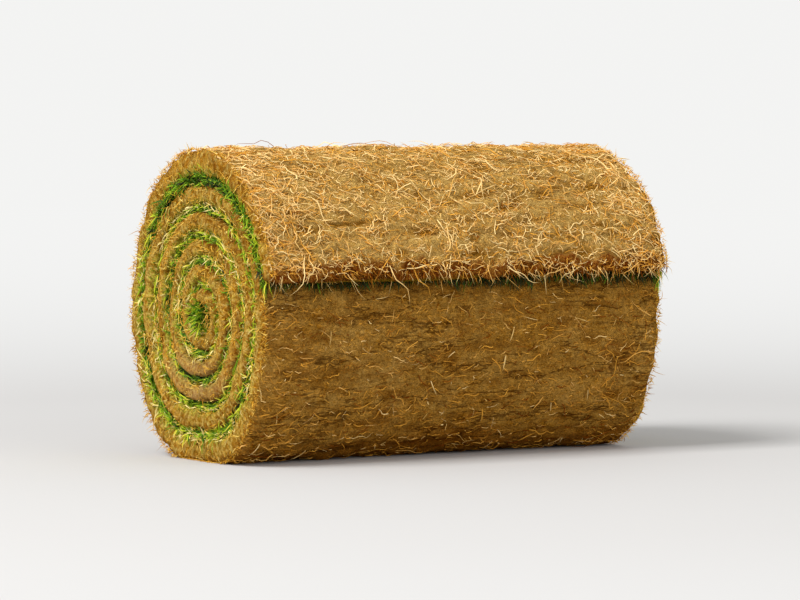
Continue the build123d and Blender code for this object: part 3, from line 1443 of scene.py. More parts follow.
@dataclass(frozen=True)
class Crumbs:
    """Loose crumbs of soil on the cut edges of one end: octahedra with uneven corners.

    Args:
        depth: how far the cut edge is rounded off at its two sides.
        sunk: how high over its surface or how deep in it they lie.
    """

    winding: Winding
    count: int = 1400
    size: Range = (0.6 * MM, 1.6 * MM)
    depth: float = 4 * MM
    sunk: Range = (-0.6 * MM, 0.8 * MM)

    def shape(self, end: End, rng: Chance) -> Shape:
        """Builds crumbs strewn over the soil bands, each sunk a little into them.

        Args:
            end: the roll's end.
            rng: source of chance.

        Returns:
            The crumbs.
        """
        winding, count = self.winding, self.count
        stage = winding.scattered(rng, 1.2, winding.flap_edge_stage - 0.03, count)
        share = rng.uniform(0.08, 0.97, count)
        inset = self.depth * np.abs(2.0 * share - 1.0) ** 4 + rng.uniform(*self.sunk, count)
        centres = placed(end.value * (winding.half_width - inset), winding.within(stage, share))
        corners = rng.uniform(0.55, 1.25, (count, 6, 1)) * np.concatenate([np.eye(3), -np.eye(3)])
        turns = unit(rng.normal(size=(count, 3)))
        side = unit(np.cross(turns, rng.normal(size=(count, 3))))
        axes = np.stack([turns, side, np.cross(turns, side)], axis=1)
        half = 0.5 * rng.uniform(*self.size, count)[:, None, None]
        points = centres[:, None] + half * np.einsum("ncj,njk->nck", corners, axes)
        faces = np.array(
            [[0, 1, 2], [1, 3, 2], [3, 4, 2], [4, 0, 2], [1, 0, 5], [3, 1, 5], [4, 3, 5], [0, 4, 5]]
        )
        shades = np.repeat(0.15 + 0.75 * rng.beta(1.5, 1.5, count), 6)
        return Shape(
            points=above_floor(points.reshape(-1, 3)),
            triangles=(faces[None] + 6 * np.arange(count)[:, None, None]).reshape(-1, 3),
            layers={"shade": shades, "along": np.zeros_like(shades)},
        ).facing_out()


@dataclass(frozen=True)
class Straw(OnFace):
    """Dead blades and straw bits that stick to the root side.

    Args:
        margin: how far from the ends they stay.
        hanging: share of them that lies across the roll, as they would hang.
        rise: how steeply they leave the face.
    """

    settle: float = 1.3
    sway: float = 0.35
    count: int = 170
    margin: float = 12 * MM
    hanging: float = 0.55
    rise: Range = (0.0, 0.22)
    lengths: Range = (4 * MM, 17 * MM)
    widths: Range = (0.6 * MM, 1.2 * MM)
    heights: Range = (0.3 * MM, 1.2 * MM)

    def shape(self, rng: Chance) -> Shape:
        """Builds bits that lie any way round on the outer face.

        Args:
            rng: source of chance.

        Returns:
            The bits.
        """
        winding, count, half = self.winding, self.count, self.winding.half_width - self.margin
        stage = winding.scattered(rng, winding.body_start, winding.flap_edge_stage, count)
        x = rng.uniform(-half, half, count)
        loose = rng.uniform(-np.pi, np.pi, count)
        across = 0.5 * np.pi + rng.normal(0.0, 0.35, count)
        turned = np.where(rng.uniform(size=count) < self.hanging, across, loose)
        rise = rng.uniform(*self.rise, count)
        lengths = rng.uniform(*self.lengths, count)
        headings, bends = self.lie(rng, stage, turned, rise, lengths, np.ones(count))
        place = winding.face(stage, self.ground.at(stage, x) + rng.uniform(*self.heights, count))
        widths = rng.uniform(*self.widths, count)
        shades = 0.75 + rng.normal(0.0, 0.15, count)
        form = {"spans": 4, "flatness": 0.35, "taper": 4.0}
        return Strands(placed(x, place), headings, bends, lengths, widths, shades, **form).shape(rng)


# Finishes


class Graph:
    """Adds nodes to a node tree and joins them to what feeds them."""

    def __init__(self, tree: bpy.types.NodeTree) -> None:
        """Keeps a material's, a world's or a group's node tree."""
        self.tree = tree

    def feed(self, node: bpy.types.Node, feeds: Feeds) -> None:
        """Gives some of a node's inputs their values or another node's output.

        Args:
            node: the node.
            feeds: a value or an output for each input, by name or number.
        """
        for key, value in feeds.items():
            if isinstance(value, Socket):
                self.tree.links.new(value, node.inputs[key])
            else:
                node.inputs[key].default_value = value

    def add(self, kind: str, feeds: Feeds | None = None, **settings: object) -> bpy.types.Node:
        """Adds one node.

        Args:
            kind: the node's type, without its leading ShaderNode.
            feeds: what its inputs get.
            settings: the node's own properties.

        Returns:
            The new node.
        """
        node = self.tree.nodes.new("ShaderNode" + kind)
        for name, value in settings.items():
            setattr(node, name, value)
        self.feed(node, feeds or {})
        return node

    def math(self, operation: str, first: object, second: object = 0.0, third: object = 0.0) -> Socket:
        """A Math node's output."""
        return self.add("Math", {0: first, 1: second, 2: third}, operation=operation).outputs[0]

    def times(self, first: object, second: object) -> Socket:
        """One value times another."""
        return self.math("MULTIPLY", first, second)

    def times_plus(self, first: object, second: object, third: object) -> Socket:
        """One value times another, plus a third."""
        return self.math("MULTIPLY_ADD", first, second, third)

    def off_middle(self, value: Socket) -> Socket:
        """How far a noise is from its middle."""
        return self.math("ABSOLUTE", self.math("SUBTRACT", value, 0.5))

    def greatest(self, values: list[Socket]) -> Socket:
        """The greatest of several values."""
        return reduce(lambda most, value: self.math("MAXIMUM", most, value), values)

    def vector(self, operation: str, first: Socket, second: object) -> Socket:
        """A Vector Math node's output, where the second value is a vector, or a factor for SCALE."""
        second_input = "Scale" if operation == "SCALE" else 1
        return self.add("VectorMath", {0: first, second_input: second}, operation=operation).outputs[0]

    def clamped(self, value: object, low: float, high: float) -> Socket:
        """Carries a value from low to high smoothly onto 0 to 1."""
        feeds = {"Value": value, 1: low, 2: high, 3: 0.0, 4: 1.0}
        return self.add("MapRange", feeds, interpolation_type="SMOOTHSTEP").outputs[0]

    def mixed(self, share: object, first: object, second: object, how: str = "MIX") -> Socket:
        """A share of the way from one colour to a second, or to their product for MULTIPLY."""
        first, second = ((*c, 1.0) if isinstance(c, tuple) else c for c in (first, second))
        return self.add("Mix", {0: share, 6: first, 7: second}, data_type="RGBA", blend_type=how).outputs[2]

    def laid(self, under: object, over: object, mask: object, share: object) -> Socket:
        """A colour with another laid over it where a mask is, as far as a share."""
        return self.mixed(self.times(mask, share), under, over)

    def noise(self, place: object, scale: float, detail: float = 2.0, rough: float = 0.5) -> Socket:
        """A noise texture's value at a place."""
        feeds = {"Vector": place, "Scale": scale, "Detail": detail, "Roughness": rough}
        return self.add("TexNoise", feeds).outputs["Fac"]

    def attribute(self, name: str) -> Socket:
        """A vertex attribute's value."""
        return self.add("Attribute", attribute_name=name).outputs["Fac"]

    def chart(self) -> Socket:
        """Places on the unrolled chart, in millimetres."""
        return self.vector("SCALE", self.add("UVMap", uv_map="Chart").outputs["UV"], 1.0 / MM)


class Effect:
    """A shared node group with named inputs and outputs, built once."""

    def __init__(self, name: str, inputs: dict[str, str], outputs: dict[str, str]) -> None:
        """Makes the empty group.

        Args:
            name: the group's name.
            inputs: socket type for each input's name.
            outputs: socket type for each output's name.
        """
        self.tree = bpy.data.node_groups.new(name, "ShaderNodeTree")
        for in_out, sockets in (("INPUT", inputs), ("OUTPUT", outputs)):
            for label, kind in sockets.items():
                self.tree.interface.new_socket(name=label, in_out=in_out, socket_type="NodeSocket" + kind)
        self.graph = Graph(self.tree)
        self.given = self.tree.nodes.new("NodeGroupInput").outputs
        self.result = self.tree.nodes.new("NodeGroupOutput")

    def put_out(self, values: Feeds) -> Effect:
        """Joins values to the group's outputs, and gives the finished effect."""
        self.graph.feed(self.result, values)
        return self

    def used(self, graph: Graph, feeds: Feeds) -> bpy.types.bpy_prop_collection:
        """Places the group in a tree with its own values, and gives its outputs."""
        return graph.add("Group", feeds, node_tree=self.tree).outputs


def fibre_lines() -> Effect:
    """Thin wavering lines: where a stretched noise passes through its middle, broken up by patches.

    Returns:
        The effect, whose place is pushed about by a coarse noise and then turned.
    """
    effect = Effect(
        "Fibre lines",
        {"Vector": "Vector", "Stretch": "Vector", "Turn": "Float", "Wander": "Float", "Width": "Float"},
        {"Mask": "Float"},
    )
    graph, given = effect.graph, effect.given
    drift = graph.add("TexNoise", {"Vector": given["Vector"], "Scale": 0.09, "Detail": 2.0}).outputs["Color"]
    pushed = graph.vector("SCALE", graph.vector("SUBTRACT", drift, (0.5, 0.5, 0.5)), given["Wander"])
    feeds = {"Vector": graph.vector("ADD", given["Vector"], pushed), "Angle": given["Turn"]}
    turned = graph.add("VectorRotate", feeds, rotation_type="Z_AXIS").outputs[0]
    wave = graph.noise(graph.vector("MULTIPLY", turned, given["Stretch"]), 1.0, 1.0)
    line = graph.math("SUBTRACT", 1.0, graph.math("DIVIDE", graph.off_middle(wave), given["Width"]))
    patches = graph.clamped(graph.noise(turned, 0.13), 0.38, 0.58)
    return effect.put_out({"Mask": graph.times(graph.math("MAXIMUM", line, 0.0), patches)})


def soil_grain() -> Effect:
    """Crumbs of soil: a light mottling, the pits between crumbs, their height and a tone for each.

    Returns:
        The effect, in which the height is the mottling less a share of the distance from a crumb.
    """
    effect = Effect(
        "Soil grain",
        {"Vector": "Vector", "Size": "Float"},
        {"Light": "Float", "Pits": "Float", "Height": "Float", "Tone": "Float"},
    )
    graph, given = effect.graph, effect.given
    small = graph.vector("SCALE", given["Vector"], graph.math("DIVIDE", 1.0, given["Size"]))
    light = graph.noise(small, 0.8, 4.0, 0.62)
    cells = graph.add("TexVoronoi", {"Vector": small, "Scale": 1.3, "Randomness": 1.0}).outputs
    return effect.put_out(
        {
            "Light": graph.clamped(light, 0.3, 0.7),
            "Pits": graph.clamped(cells["Distance"], 0.42, 0.8),
            "Height": graph.math("SUBTRACT", light, graph.times(cells["Distance"], 0.55)),
            "Tone": graph.add("SeparateColor", {0: cells["Color"]}).outputs[0],
        }
    )


def blade_tone() -> Effect:
    """Colours of grass: dark green through vivid and yellow green to straw, as the shade rises.

    Returns:
        The effect, which is also multiplied darker towards the root as painted shade, where blades stand down
        in the grooves and the mouth.
    """
    effect = Effect("Blade tone", {"Shade": "Float", "Along": "Float"}, {"Color": "Color"})
    graph, given = effect.graph, effect.given
    shade = graph.math("ADD", given["Shade"], graph.times(given["Along"], 0.34))
    tones = graph.add("ValToRGB", {"Fac": shade})
    stops = (
        (0.0, (0.026, 0.026, 0.001)),
        (0.2, (0.060, 0.165, 0.006)),
        (0.42, (0.220, 0.400, 0.010)),
        (0.62, (0.540, 0.620, 0.020)),
        (0.8, (0.780, 0.660, 0.060)),
        (1.0, (0.980, 0.800, 0.320)),
    )
    elements = tones.color_ramp.elements
    while len(elements) < len(stops):
        elements.new(0.5)
    for element, (place, colour) in zip(elements, stops):
        element.position = place
        element.color = (*colour, 1.0)
    # Painted shade: blades are darkened towards their roots, where they stand down in the grooves.
    root = graph.mixed(graph.clamped(given["Along"], 0.0, 0.35), (0.38, 0.36, 0.12), WHITE)
    return effect.put_out({"Color": graph.mixed(0.6, tones.outputs["Color"], root, "MULTIPLY")})


def new_material(name: str) -> tuple[bpy.types.Material, Graph, bpy.types.Node]:
    """Makes an empty material with one Principled shader on its output.

    Args:
        name: the material's name.

    Returns:
        The material, its tree and the shader.
    """
    material = bpy.data.materials.new(name)
    material.use_nodes = True
    material.node_tree.nodes.clear()
    graph = Graph(material.node_tree)
    shader = graph.add("BsdfPrincipled")
    graph.add("OutputMaterial", {"Surface": shader.outputs[0]})
    return material, graph, shader


@dataclass(frozen=True)
class Lie:
    """How a set of fibre lines lies on the chart.

    Args:
        squeeze: how much their noise is squeezed across and along the strip.
        turn: how far they are turned, in radians.
        wander: how far they stray, in millimetres.
        width: their width, as a difference of the noise.
    """

    squeeze: Range
    turn: float
    wander: float
    width: float

    def mask(self, graph: Graph, fibres: Effect, place: Socket) -> Socket:
        """The mask of these lines."""
        feeds = {"Vector": place, "Stretch": (*self.squeeze, 1.0), "Turn": self.turn, "Wander": self.wander}
        return fibres.used(graph, {**feeds, "Width": self.width})["Mask"]


class SoilPattern:
    """Masks and values over the unrolled soil, which its colours and its height share."""

    ROOTS = (
        Lie((0.06, 0.55), 0.05, 11.0, 0.10),
        Lie((0.09, 0.70), 0.75, 16.0, 0.08),
        Lie((0.09, 0.70), -0.6, 16.0, 0.08),
        Lie((0.22, 0.45), 0.2, 30.0, 0.075),
    )
    TUFTS = Lie((0.12, 0.28), 0.35, 34.0, 0.085)
    GAPS = (Lie((0.10, 0.32), -0.25, 34.0, 0.085), Lie((0.13, 0.62), 0.12, 24.0, 0.07))

    def __init__(self, graph: Graph, fibres: Effect, grain: Effect) -> None:
        """Lays the pattern out in a material's tree.

        Args:
            graph: the material's tree.
            fibres: the shared fibre lines.
            grain: the shared soil grain.
        """
        self.place = place = graph.chart()
        self.dry, self.edge = graph.attribute("dry"), graph.attribute("edge")
        self.roots = [lie.mask(graph, fibres, place) for lie in self.ROOTS]
        self.bundle = graph.greatest(self.roots)
        self.tufts = self.TUFTS.mask(graph, fibres, place)
        self.gaps = graph.greatest([lie.mask(graph, fibres, place) for lie in self.GAPS])
        streaks = graph.vector("MULTIPLY", place, (0.10, 0.72, 1.0))
        self.streak = graph.clamped(graph.noise(streaks, 1.0, 4.0, 0.7), 0.36, 0.62)
        self.bits, self.grain, self.clods = (
            grain.used(graph, {"Vector": place, "Size": size}) for size in (1.9, 2.2, 8.0)
        )
        coarse = graph.clamped(graph.noise(place, 0.035, 3.0, 0.55), 0.36, 0.64)
        # The dryness from the attribute, which also carries painted light and shade, with a coarse noise over
        # it.
        self.dryness_and_light = graph.clamped(graph.math("ADD", self.dry, graph.times(coarse, 0.16)), 0.05, 1.0)
        self.sunk = graph.times(self.furrows(graph), graph.times_plus(self.dryness_and_light, -0.4, 0.78))

    def furrows(self, graph: Graph) -> Socket:
        """Thin dark furrows along the roll: where a much stretched noise passes through its middle.

        Args:
            graph: the material's tree.

        Returns:
            Their mask, broken up by patches.
        """
        long = graph.vector("MULTIPLY", self.place, (0.012, 0.050, 1.0))
        off = graph.off_middle(graph.noise(long, 1.0, 5.0, 0.6))
        wide = graph.vector("MULTIPLY", self.place, (0.009, 0.030, 1.0))
        patches = graph.clamped(graph.noise(wide, 1.0), 0.42, 0.52)
        return graph.times(graph.clamped(off, 0.022, 0.005), patches)

    def height(self, graph: Graph) -> Socket:
        """The soil's height: roots, tufts, crumbs and clods, less the gaps and the furrows.

        Args:
            graph: the material's tree.

        Returns:
            The height, in bumps.
        """
        raised = graph.times_plus(self.bundle, 0.6, self.grain["Height"])
        raised = graph.times_plus(self.streak, 0.5, raised)
        raised = graph.math("ADD", raised, graph.math("SUBTRACT", self.tufts, self.gaps))
        raised = graph.times_plus(self.clods["Height"], 0.5, raised)
        flat_share = graph.math("SUBTRACT", 1.0, self.edge)
        return graph.math("SUBTRACT", raised, graph.times(self.sunk, flat_share))


@dataclass(frozen=True)
class SoilFinish:
    """Soil bound by roots: moist or dry, with fibres on the root side and crumbs on the cut edges.

    A mottling goes from moist to damp_light low on the roll, from dry_low to dry on its dried top,
    and on the cut edges from crumb to crumb_light, from thatch_low to thatch on their grass side
    and from rooty_low to rooty on their root side. The top's paleness and the low part's darkness
    are partly the soil's drying and partly painted light and shade.

    Args:
        rust_and_low_shade: the reddish patches, and the lowest stretch of the root side, where it is also
            painted shade.
        green_bit: bits of live leaf among the thatch.
        lip: the free end's torn lip, darker than the cut edges as painted shade.
        gap: gaps between tufts of dry roots.
        pale_edge: cut edges that have dried.
        dust: their smeared stretches low down.
        painted_hollow_shade: painted shade that darkens the hollows, the mouth and the lip's underside.
    """

    fibres: Effect
    grain: Effect
    moist: Colour = (0.105, 0.033, 0.001)
    damp_light: Colour = (0.745, 0.304, 0.013)
    dry_low: Colour = (0.640, 0.284, 0.030)
    dry: Colour = (1.000, 0.570, 0.120)
    fibre: Colour = (1.000, 0.655, 0.200)
    damp_fibre: Colour = (0.860, 0.450, 0.082)
    rust_and_low_shade: Colour = (0.330, 0.090, 0.003)
    crumb: Colour = (0.560, 0.258, 0.008)
    crumb_light: Colour = (1.000, 0.660, 0.125)
    thatch_low: Colour = (0.700, 0.560, 0.018)
    thatch: Colour = (1.000, 0.900, 0.130)
    green_bit: Colour = (0.230, 0.380, 0.014)
    rooty_low: Colour = (0.440, 0.142, 0.005)
    rooty: Colour = (0.980, 0.515, 0.070)
    lip: Colour = (0.250, 0.046, 0.005)
    gap: Colour = (0.210, 0.072, 0.002)
    pale_edge: Colour = (0.860, 0.405, 0.042)
    dust: Colour = (0.840, 0.500, 0.200)
    pale_bit: Colour = (1.000, 0.710, 0.190)
    red_bit: Colour = (0.450, 0.150, 0.004)
    painted_hollow_shade: Colour = (0.540, 0.400, 0.140)
    bump: float = 2.0 * MM

    def root_side(self, graph: Graph, soil: SoilPattern) -> Socket:
        """Colour of the root side: soil that dries to pale, with roots and gaps over it.

        Args:
            graph: the material's tree.
            soil: the soil's pattern.

        Returns:
            The colour.
        """
        mottling = graph.times_plus(soil.streak, 0.55, graph.times(soil.grain["Light"], 0.45))
        damp = graph.mixed(mottling, self.moist, self.damp_light)
        dried = graph.mixed(mottling, self.dry_low, self.dry)
        fibre = graph.mixed(soil.dryness_and_light, self.damp_fibre, self.fibre)
        deep = graph.mixed(soil.dryness_and_light, self.moist, self.gap)
        strength = graph.times_plus(soil.dryness_and_light, 0.3, 0.6)
        # Damp to dried soil by the dryness, which is partly painted light: paler on the top, darker
        # underneath.
        matted = graph.mixed(soil.dryness_and_light, damp, dried)
        matted = graph.laid(matted, deep, soil.gaps, graph.times_plus(soil.dryness_and_light, 0.54, 0.3))
        matted = graph.laid(matted, fibre, soil.tufts, graph.times(strength, 0.8))
        matted = graph.laid(matted, fibre, soil.bundle, strength)
        reddish = graph.times(graph.clamped(graph.noise(soil.place, 0.022), 0.55, 0.72), 0.25)
        # The lowest stretch, where the dryness drops, goes over to the rust colour: partly reddish soil,
        # partly painted shade underneath.
        lowest = graph.times(graph.clamped(soil.dry, 0.17, 0.0), 0.66)
        matted = graph.mixed(graph.math("MAXIMUM", reddish, lowest), matted, self.rust_and_low_shade)
        between = graph.times(graph.math("SUBTRACT", 1.0, soil.bundle), soil.grain["Pits"])
        return graph.mixed(soil.sunk, graph.laid(matted, deep, between, 0.42), self.moist)

    def cut_side(self, graph: Graph, soil: SoilPattern) -> Socket:
        """Colour of the cut edges: crumbs, rooty outside, with thatch inside and flecks all over.

        Args:
            graph: the material's tree.
            soil: the soil's pattern.

        Returns:
            The colour.
        """
        light, tone = soil.grain["Light"], soil.bits["Tone"]
        wound = graph.vector("MULTIPLY", soil.place, (0.5, 0.08, 1.0))
        layered = graph.clamped(graph.noise(wound, 1.0, 3.0, 0.65), 0.36, 0.64)
        cut_light = graph.times_plus(light, 0.25, graph.times_plus(tone, 0.2, graph.times(layered, 0.65)))
        cut = graph.mixed(graph.clamped(cut_light, 0.1, 0.95), self.crumb, self.crumb_light)
        cut = graph.laid(cut, self.pale_edge, graph.clamped(soil.dry, 0.4, 0.9), 0.6)
        side = graph.times_plus(light, 0.34, graph.attribute("side"))
        rooty = graph.mixed(tone, self.rooty_low, self.rooty)
        cut = graph.mixed(graph.clamped(side, 0.8, 1.08), cut, rooty)
        straws = graph.mixed(tone, self.thatch_low, self.thatch)
        straws = graph.mixed(graph.clamped(tone, 0.3, 0.2), straws, self.green_bit)
        cut = graph.mixed(graph.clamped(side, 0.56, 0.26), cut, straws)
        spots, flecks = graph.noise(soil.place, 0.085), graph.noise(soil.place, 0.26, 3.0, 0.62)
        for over, mask, share in (
            (self.rooty_low, graph.clamped(spots, 0.54, 0.68), 0.5),
            (self.thatch, graph.clamped(spots, 0.44, 0.32), 0.25),
            (self.fibre, soil.roots[-1], 0.5),
            (self.crumb, soil.bits["Pits"], 0.4),
            (self.moist, soil.clods["Pits"], 0.34),
            (self.dust, graph.attribute("dusty"), 0.6),
            (self.red_bit, graph.clamped(flecks, 0.46, 0.37), 0.72),
            (self.pale_bit, graph.clamped(flecks, 0.54, 0.62), 0.72),
        ):
            cut = graph.laid(cut, over, mask, share)
        return cut

    def material(self) -> bpy.types.Material:
        """Builds the material on the unrolled chart.

        Returns:
            The material: the root side, the torn lip and the cut edges, with painted shade in the hollows.
        """
        material, graph, shader = new_material("Root mat and soil")
        soil = SoilPattern(graph, self.fibres, self.grain)
        # The lip: torn soil whose dark colour is also painted shade, with rooty flecks over it.
        torn = graph.laid(self.lip, self.rooty, soil.bits["Tone"], 0.36)
        matted = graph.mixed(graph.attribute("lip"), self.root_side(graph, soil), torn)
        colour = graph.mixed(soil.edge, matted, self.cut_side(graph, soil))
        # Painted shade: where the relief attribute is low (hollows, the mouth, under the lip) the colour is
        # multiplied darker, more so on dry soil.
        low = graph.clamped(graph.attribute("relief"), 0.4, -2.2)
        shaded = graph.mixed(graph.times(low, graph.times_plus(soil.dry, 0.5, 0.5)), WHITE, self.painted_hollow_shade)
        bump = {"Strength": 0.85, "Distance": self.bump, "Height": soil.height(graph)}
        feeds = {
            "Base Color": graph.mixed(1.0, colour, shaded, "MULTIPLY"),
            "Roughness": graph.math("SUBTRACT", 0.96, graph.times(soil.bundle, 0.16)),
            "Specular IOR Level": 0.01,
            "Normal": graph.add("Bump", bump).outputs[0],
        }
        graph.feed(shader, feeds)
        return material


@dataclass(frozen=True)
class GrassFinish:
    """Blades of grass, coloured by their shade and a little lighter towards the tip, with painted shade
    towards the root.
    """

    tone: Effect
    roughness: float = 0.62
    gloss: float = 0.18

    def material(self) -> bpy.types.Material:
        """Builds the material on the blades' attributes, with a faint change along each.

        Returns:
            The material.
        """
        material, graph, shader = new_material("Grass blades")
        place = graph.add("TexCoord").outputs["Object"]
        patches = graph.times_plus(graph.noise(place, 90.0), 0.16, -0.08)
        shade = graph.math("ADD", graph.attribute("shade"), patches)
        tone = self.tone.used(graph, {"Shade": shade, "Along": graph.attribute("along")})["Color"]
        rough = graph.times_plus(graph.noise(place, 300.0), 0.2, self.roughness - 0.1)
        graph.feed(shader, {"Base Color": tone, "Roughness": rough, "Specular IOR Level": self.gloss})
        return material


@dataclass(frozen=True)
class PressedFinish:
    """Grass pressed flat between the turns: fine strokes along the band, in the blades' colours."""

    tone: Effect
    fibres: Effect
    lie: Lie = Lie((0.9, 0.14), 0.3, 8.0, 0.06)
    gloss: float = 0.25
    bump: float = 1.1 * MM

    def material(self) -> bpy.types.Material:
        """Builds the material on the unrolled chart.

        Returns:
            The material.
        """
        material, graph, shader = new_material("Pressed grass")
        place = graph.chart()
        stroke = graph.noise(graph.vector("MULTIPLY", place, (0.8, 0.16, 1.0)), 1.0, 3.0, 0.65)
        line = self.lie.mask(graph, self.fibres, place)
        shade = graph.times_plus(graph.clamped(stroke, 0.3, 0.7), 0.34, graph.attribute("shade"))
        shade = graph.math("SUBTRACT", graph.times_plus(line, 0.22, shade), 0.2)
        bump = {"Strength": 0.9, "Distance": self.bump, "Height": graph.times_plus(line, 0.5, stroke)}
        tone = self.tone.used(graph, {"Shade": shade, "Along": graph.attribute("along")})["Color"]
        feeds = {
            "Base Color": tone,
            "Roughness": graph.times_plus(stroke, 0.2, 0.62),
            "Specular IOR Level": self.gloss,
            "Normal": graph.add("Bump", bump).outputs[0],
        }
        graph.feed(shader, feeds)
        return material


@dataclass(frozen=True)
class FibreFinish:
    """Loose roots and fibres, from dark root brown through ochre to pale straw by their shade."""

    name: str
    low: Colour
    middle: Colour
    high: Colour
    roughness: float = 0.8
    gloss: float = 0.03

    def material(self) -> bpy.types.Material:
        """Builds the material: two blends by shade, mottled by a fine noise.

        Returns:
            The material.
        """
        material, graph, shader = new_material(self.name)
        place = graph.add("TexCoord").outputs["Object"]
        mottled = graph.times_plus(graph.noise(place, 140.0), 0.3, -0.15)
        shade = graph.math("ADD", graph.attribute("shade"), mottled)
        lower = graph.mixed(graph.clamped(shade, 0.0, 0.5), self.low, self.middle)
        colour = graph.mixed(graph.clamped(shade, 0.5, 1.0), lower, self.high)
        rough = graph.times_plus(graph.noise(place, 400.0, 1.0), 0.2, self.roughness - 0.1)
        graph.feed(shader, {"Base Color": colour, "Roughness": rough, "Specular IOR Level": self.gloss})
        return material


# The roll and its surroundings


class Draw(Enum):
    """What has random draws of its own, by the number that seeds them."""

    STRIP = 1
    ROOTS = 2
    LIP = 3
    FRINGE = 4
    STRAW = 5
    FELT = 6
    EDGES = 10
    PRESSED = 11
    BLADES = 12
    FIBRES = 13
    CRUMBS = 14


@dataclass(frozen=True)
class TurfRoll:
    """The whole roll, made of the strip's surfaces and everything that grows out of them."""

    winding: Winding = Winding()

    def build(self) -> None:
        """Builds and dresses every piece."""
        fibres, grain, tone = fibre_lines(), soil_grain(), blade_tone()
        soil = SoilFinish(fibres, grain).material()
        blades = GrassFinish(tone).material()
        pressed = PressedFinish(tone, fibres).material()
        root, straw, torn = (
            FibreFinish(name, low, middle, high).material()
            for name, low, middle, high in (
                ("Root fibres", (0.20, 0.046, 0.001), (0.77, 0.370, 0.046), (1.00, 0.74, 0.32)),
                ("Dead straw", (0.30, 0.15, 0.030), (0.66, 0.40, 0.10), (0.90, 0.66, 0.29)),
                ("Torn fibres", (0.28, 0.094, 0.003), (0.78, 0.42, 0.040), (1.00, 0.76, 0.20)),
            )
        )
        winding = self.winding
        strip, ground = OuterTurn(winding).build(self.chance(Draw.STRIP))
        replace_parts(strip.piece("outer_turn", soil, True), SOLID)
        roots = SurfaceRoots(winding, ground)
        felt = replace(
            roots,
            count=11400,
            mean_length=7.5 * MM,
            longest=16 * MM,
            widths=(0.35 * MM, 0.8 * MM),
            spans=3,
            skew=0.95,
            damp_share=0.6,
            near_ends=0.1,
        )
        roots.shape(self.chance(Draw.ROOTS)).piece("surface_roots", root, False)
        felt.shape(self.chance(Draw.FELT)).piece("root_felt", root, False)
        EdgeFibres(winding).on_lip(self.chance(Draw.LIP)).piece("lip_roots", root, False)
        FlapGrass(winding).shape(self.chance(Draw.FRINGE)).piece("flap_grass", blades, False)
        Straw(winding, ground).shape(self.chance(Draw.STRAW)).piece("straw", straw, False)
        for end in End:
            for name, draw, make, finish, smooth in (
                ("soil_edge", Draw.EDGES, CutEdges(winding).shape, soil, True),
                ("pressed_grass", Draw.PRESSED, PressedGrass(winding).shape, pressed, True),
                ("grass", Draw.BLADES, EndGrass(winding).shape, blades, False),
                ("edge_fibres", Draw.FIBRES, EdgeFibres(winding).on_end, torn, False),
                ("soil_crumbs", Draw.CRUMBS, Crumbs(winding).shape, torn, False),
            ):
                make(end, self.chance(draw, end)).piece(f"{name}_{end.name.lower()}", finish, smooth)

    @staticmethod
    def chance(draw: Draw, end: End = End.NEAR) -> Chance:
        """A seeded source of chance of its own for each piece, ten numbers on at the far end."""
        return np.random.default_rng([SEED, draw.value + (10 if end is End.FAR else 0)])


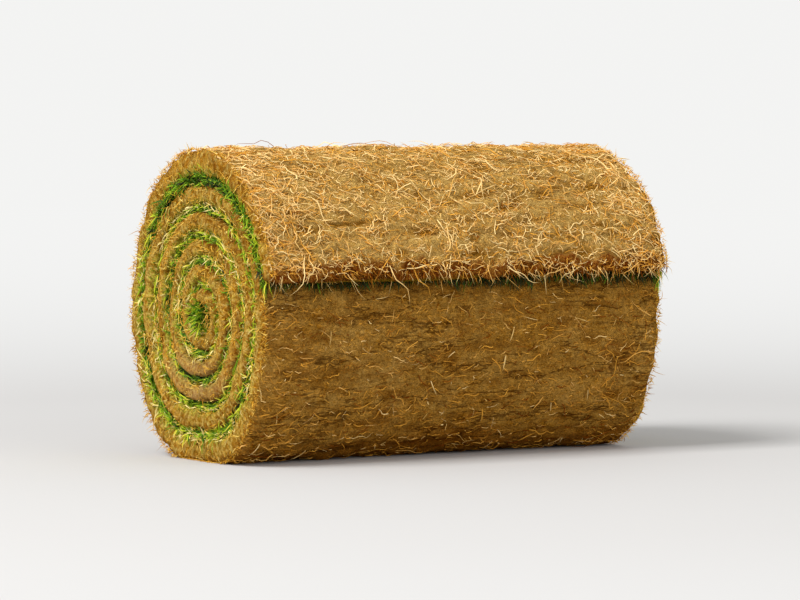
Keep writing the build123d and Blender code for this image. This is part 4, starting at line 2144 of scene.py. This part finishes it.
@dataclass(frozen=True)
class Studio:
    """A plain pale floor, soft light from the upper left, and the camera at the photo's angle.

    Args:
        fade_start: distance at which the floor starts to go over into the backdrop.
        fade_stop: distance at which it has.
        camera_aim: what the camera and the lamps point at.
        lamps: name, place, size and power of each.
    """

    floor_reach: float = 40.0
    backdrop: Colour = (0.90, 0.90, 0.89)
    floor_colour: Colour = (0.57, 0.56, 0.548)
    fade_start: float = 0.7
    fade_stop: float = 9.0
    ambient: float = 0.57
    camera_place: Place = (-1.824, -2.970, 0.290)
    camera_aim: Place = (0.0, 0.0, 0.132)
    lens: float = 180.0
    lamps: tuple[tuple[str, Place, float, float], ...] = (
        ("key", (-3.0, -0.35, 3.75), 2.0, 216.0),
        ("fill", (1.2, -3.9, 1.7), 2.4, 47.0),
    )

    def floor(self) -> None:
        """A square floor whose colour goes over into the backdrop's far from the roll."""
        material, graph, shader = new_material("Pale floor")
        graph.feed(shader, {"Base Color": (*self.floor_colour, 1.0), "Roughness": 0.9})
        place = graph.add("TexCoord").outputs["Object"]
        distance = graph.add("VectorMath", {0: place}, operation="LENGTH").outputs["Value"]
        nearness = graph.math("DIVIDE", 1.0, distance)
        far = graph.clamped(nearness, 1.0 / self.fade_start, 1.0 / self.fade_stop)
        plain = graph.add("Emission", {"Color": (*self.backdrop, 1.0), "Strength": 1.0})
        share = graph.times(far, self.seen(graph))
        mix = graph.add("MixShader", {0: share, 1: shader.outputs[0], 2: plain.outputs[0]})
        output = next(node for node in graph.tree.nodes if node.bl_idname == "ShaderNodeOutputMaterial")
        graph.feed(output, {"Surface": mix.outputs[0]})
        mesh = bpy.data.meshes.new("floor")
        corners = self.floor_reach * np.array([[-1, -1, 0], [1, -1, 0], [1, 1, 0], [-1, 1, 0]])
        mesh.from_pydata(corners.tolist(), [], [(0, 1, 2, 3)])
        mesh.materials.append(material)
        linked("floor", mesh)

    @staticmethod
    def seen(graph: Graph) -> Socket:
        """1 for rays that come from the camera, off a glossy surface or through a clear one."""
        rays = graph.add("LightPath").outputs
        return graph.greatest([rays[f"Is {kind} Ray"] for kind in ("Glossy", "Transmission", "Camera")])

    def world(self) -> None:
        """Plain light from all round, and the pale backdrop for the camera."""
        world = bpy.data.worlds.new("Studio")
        world.use_nodes = True
        world.node_tree.nodes.clear()
        graph = Graph(world.node_tree)
        light = graph.add("Background", {"Color": (*WHITE, 1.0), "Strength": self.ambient})
        shown = graph.add("Background", {"Color": (*self.backdrop, 1.0), "Strength": 1.0})
        mix = graph.add("MixShader", {0: self.seen(graph), 1: light.outputs[0], 2: shown.outputs[0]})
        graph.add("OutputWorld", {"Surface": mix.outputs[0]})
        bpy.context.scene.world = world

    def aimed(self, made: bpy.types.Object, place: Place) -> None:
        """Puts a lamp or the camera in its place, with its -Z axis pointing at the roll."""
        made.location = place
        made.rotation_euler = (made.location - Vector(self.camera_aim)).to_track_quat("Z", "Y").to_euler()

    def lamp(self, name: str, place: Place, size: float, power: float) -> None:
        """Hangs a square area lamp that points at the roll.

        Args:
            name: the lamp's name.
            place: where it hangs.
            size: the length of its side.
            power: its power, in watts.
        """
        light = bpy.data.lights.new(name, "AREA")
        light.size = size
        light.energy = power
        self.aimed(linked(name, light), place)

    def camera(self) -> None:
        """The camera at the photo's place and angle, everything in focus."""
        data = bpy.data.cameras.new("Camera")
        data.lens = self.lens
        camera = linked("Camera", data)
        self.aimed(camera, self.camera_place)
        bpy.context.scene.camera = camera

    def build(self) -> None:
        """Sets up the floor, the world, the lamps and the camera."""
        bpy.context.scene.view_settings.view_transform = "Standard"
        self.floor()
        self.world()
        for lamp in self.lamps:
            self.lamp(*lamp)
        self.camera()


def main() -> None:
    """Builds the studio and the roll in order."""
    logging.basicConfig(level=logging.INFO, format="%(name)s: %(message)s")
    Studio().build()
    TurfRoll().build()


if __name__ == "__main__":
    main()
